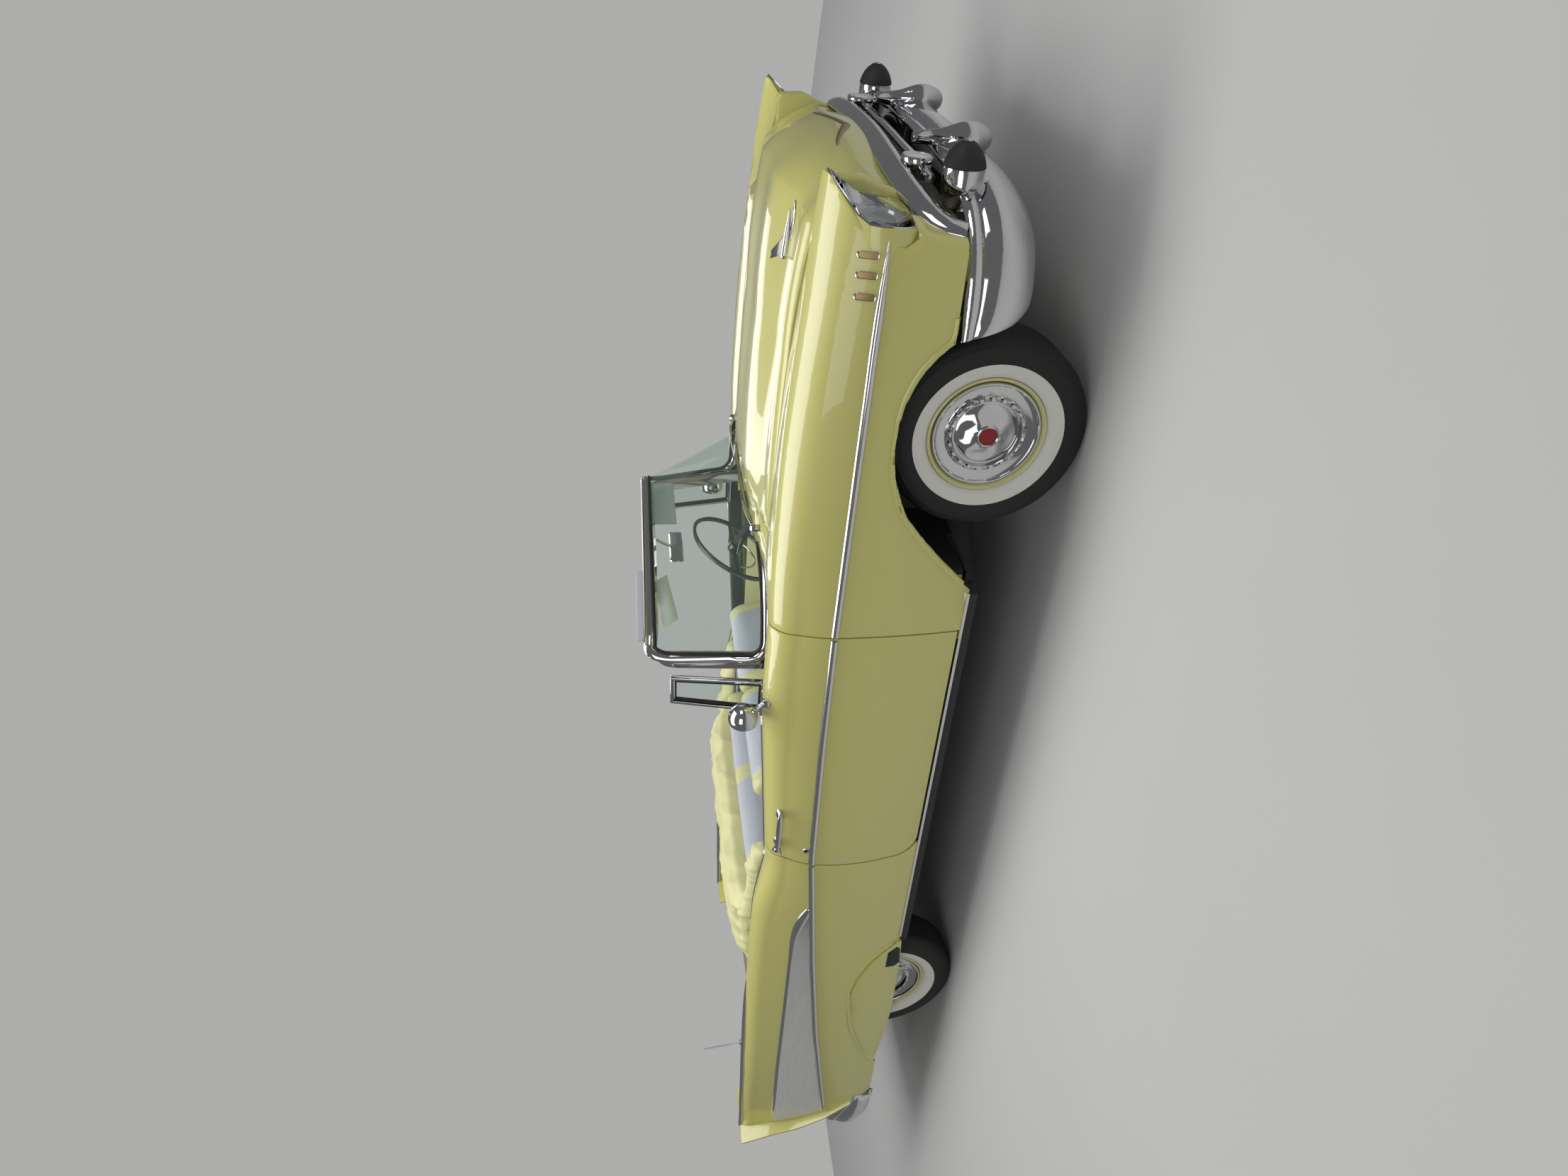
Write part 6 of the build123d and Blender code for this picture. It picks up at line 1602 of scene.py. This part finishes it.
def engine_dress(mesh):
    """Belt, hoses and plug leads."""
    belt = [(1.936, 0.085 * math.sin(a * math.pi / 10), 0.64 + 0.085 * math.cos(a * math.pi / 10))
            for a in range(21)]
    sweep(mesh, belt, oval(0.005, 0.008, 8), up=(1, 0, 0))
    sweep(mesh, [(1.8, 0.1, 0.8), (1.86, 0.11, 0.835), (1.98, 0.13, 0.845), (2.075, 0.14, 0.84),
                 (2.1, 0.14, 0.838)], oval(0.021, 0.021, 16))
    sweep(mesh, [(1.89, -0.11, 0.56), (1.97, -0.15, 0.52), (2.05, -0.17, 0.49), (2.1, -0.17, 0.48)],
          oval(0.023, 0.023, 16))
    for sign in (-1, 1):
        for i in range(4):
            x = 1.4 + 0.13 * i
            sweep(mesh, [(1.34, 0.03 * sign, 0.815), (x - 0.03, 0.11 * sign, 0.815), (x, 0.19 * sign, 0.8),
                         (x, 0.255 * sign, 0.72)],
                  oval(0.0045, 0.0045, 8))


made("engine_hoses", engine_dress, [black_rubber], smooth=0)
made("battery", lambda mesh: block(mesh, (1.96, -0.52, 0.62), (2.2, -0.42, 0.8), 0.006),
     [black_rubber], smooth=40)

# Studio: a pale plaster disc as the ground, four soft area lights and a plain room, which looks
# darker in the plating, and the camera solved from the photograph.

FLOOR_RADIUS = 5.6
plaster = tinted("pale floor", (0.5, 0.5, 0.49), (0.54, 0.54, 0.53), 0.8, 0.7, 0.1)
mesh = bmesh.new()
bmesh.ops.create_circle(mesh, cap_ends=True, segments=96, radius=FLOOR_RADIUS)
data = bpy.data.meshes.new("floor")
mesh.to_mesh(data)
mesh.free()
floor = bpy.data.objects.new("floor", data)
floor.data.materials.append(plaster.material)
scene.collection.objects.link(floor)

ROOM_LIGHT, ROOM_IN_PLATING, ROOM_SEEN = (0.36, 0.365, 0.37, 1), (0.15, 0.15, 0.155,
    1), (0.42, 0.42, 0.415, 1)
world = bpy.data.worlds.new("studio")
scene.world = world
world.use_nodes = True
tree = world.node_tree
rays = tree.nodes.new("ShaderNodeLightPath")
mirrored, seen = (tree.nodes.new("ShaderNodeMix") for _ in range(2))
mirrored.data_type = seen.data_type = "RGBA"
mirrored.inputs[6].default_value = ROOM_LIGHT
mirrored.inputs[7].default_value = ROOM_IN_PLATING
seen.inputs[7].default_value = ROOM_SEEN
tree.links.new(rays.outputs["Is Glossy Ray"], mirrored.inputs[0])
tree.links.new(rays.outputs["Is Camera Ray"], seen.inputs[0])
tree.links.new(mirrored.outputs[2], seen.inputs[6])
tree.links.new(seen.outputs[2], tree.nodes["Background"].inputs["Color"])

for name, place, aim, size, power in (
    ("ceiling", (0.4, -0.6, 4.6), (0.2, 0, 0.6), (5.5, 2.2), 160),
    ("right", (1.5, -5.2, 3.0), (0.4, 0, 0.6), (3.5, 2.0), 38),
    ("front", (6.0, -1.0, 2.6), (1.0, 0, 0.5), (2.5, 1.6), 35),
    ("left", (-1.0, 5.0, 3.4), (0, 0, 0.6), (4.0, 2.0), 45),
):
    lamp = bpy.data.lights.new(name, "AREA")
    lamp.shape, lamp.size, lamp.size_y, lamp.energy = "RECTANGLE", size[0], size[1], power
    holder = bpy.data.objects.new(name, lamp)
    scene.collection.objects.link(holder)
    holder.location = place
    holder.rotation_euler = (Vector(aim) - Vector(place)).to_track_quat("-Z", "Y").to_euler()

CAMERA, SENSOR, LENS = (3.148, -3.7039, 1.4442), 36.0, 23.713
YAW, PITCH, ROLL = math.radians(125.36673), math.radians(-7.79801), math.radians(-1.25547)
ahead = Vector((math.cos(YAW) * math.cos(PITCH), math.sin(YAW) * math.cos(PITCH), math.sin(PITCH)))
right = Vector((math.sin(YAW), -math.cos(YAW), 0))
up = right.cross(ahead)
level = right * math.cos(ROLL) + up * math.sin(ROLL)
top = up * math.cos(ROLL) - right * math.sin(ROLL)
camera = bpy.data.objects.new("camera", bpy.data.cameras.new("camera"))
camera.data.sensor_width, camera.data.lens, camera.data.sensor_fit = SENSOR, LENS, "HORIZONTAL"
scene.collection.objects.link(camera)
turn = Matrix((-top, level, -ahead)).transposed()
camera.matrix_world = Matrix.Translation(CAMERA) @ turn.to_4x4()
scene.camera = camera
scene.view_settings.view_transform = "Standard"
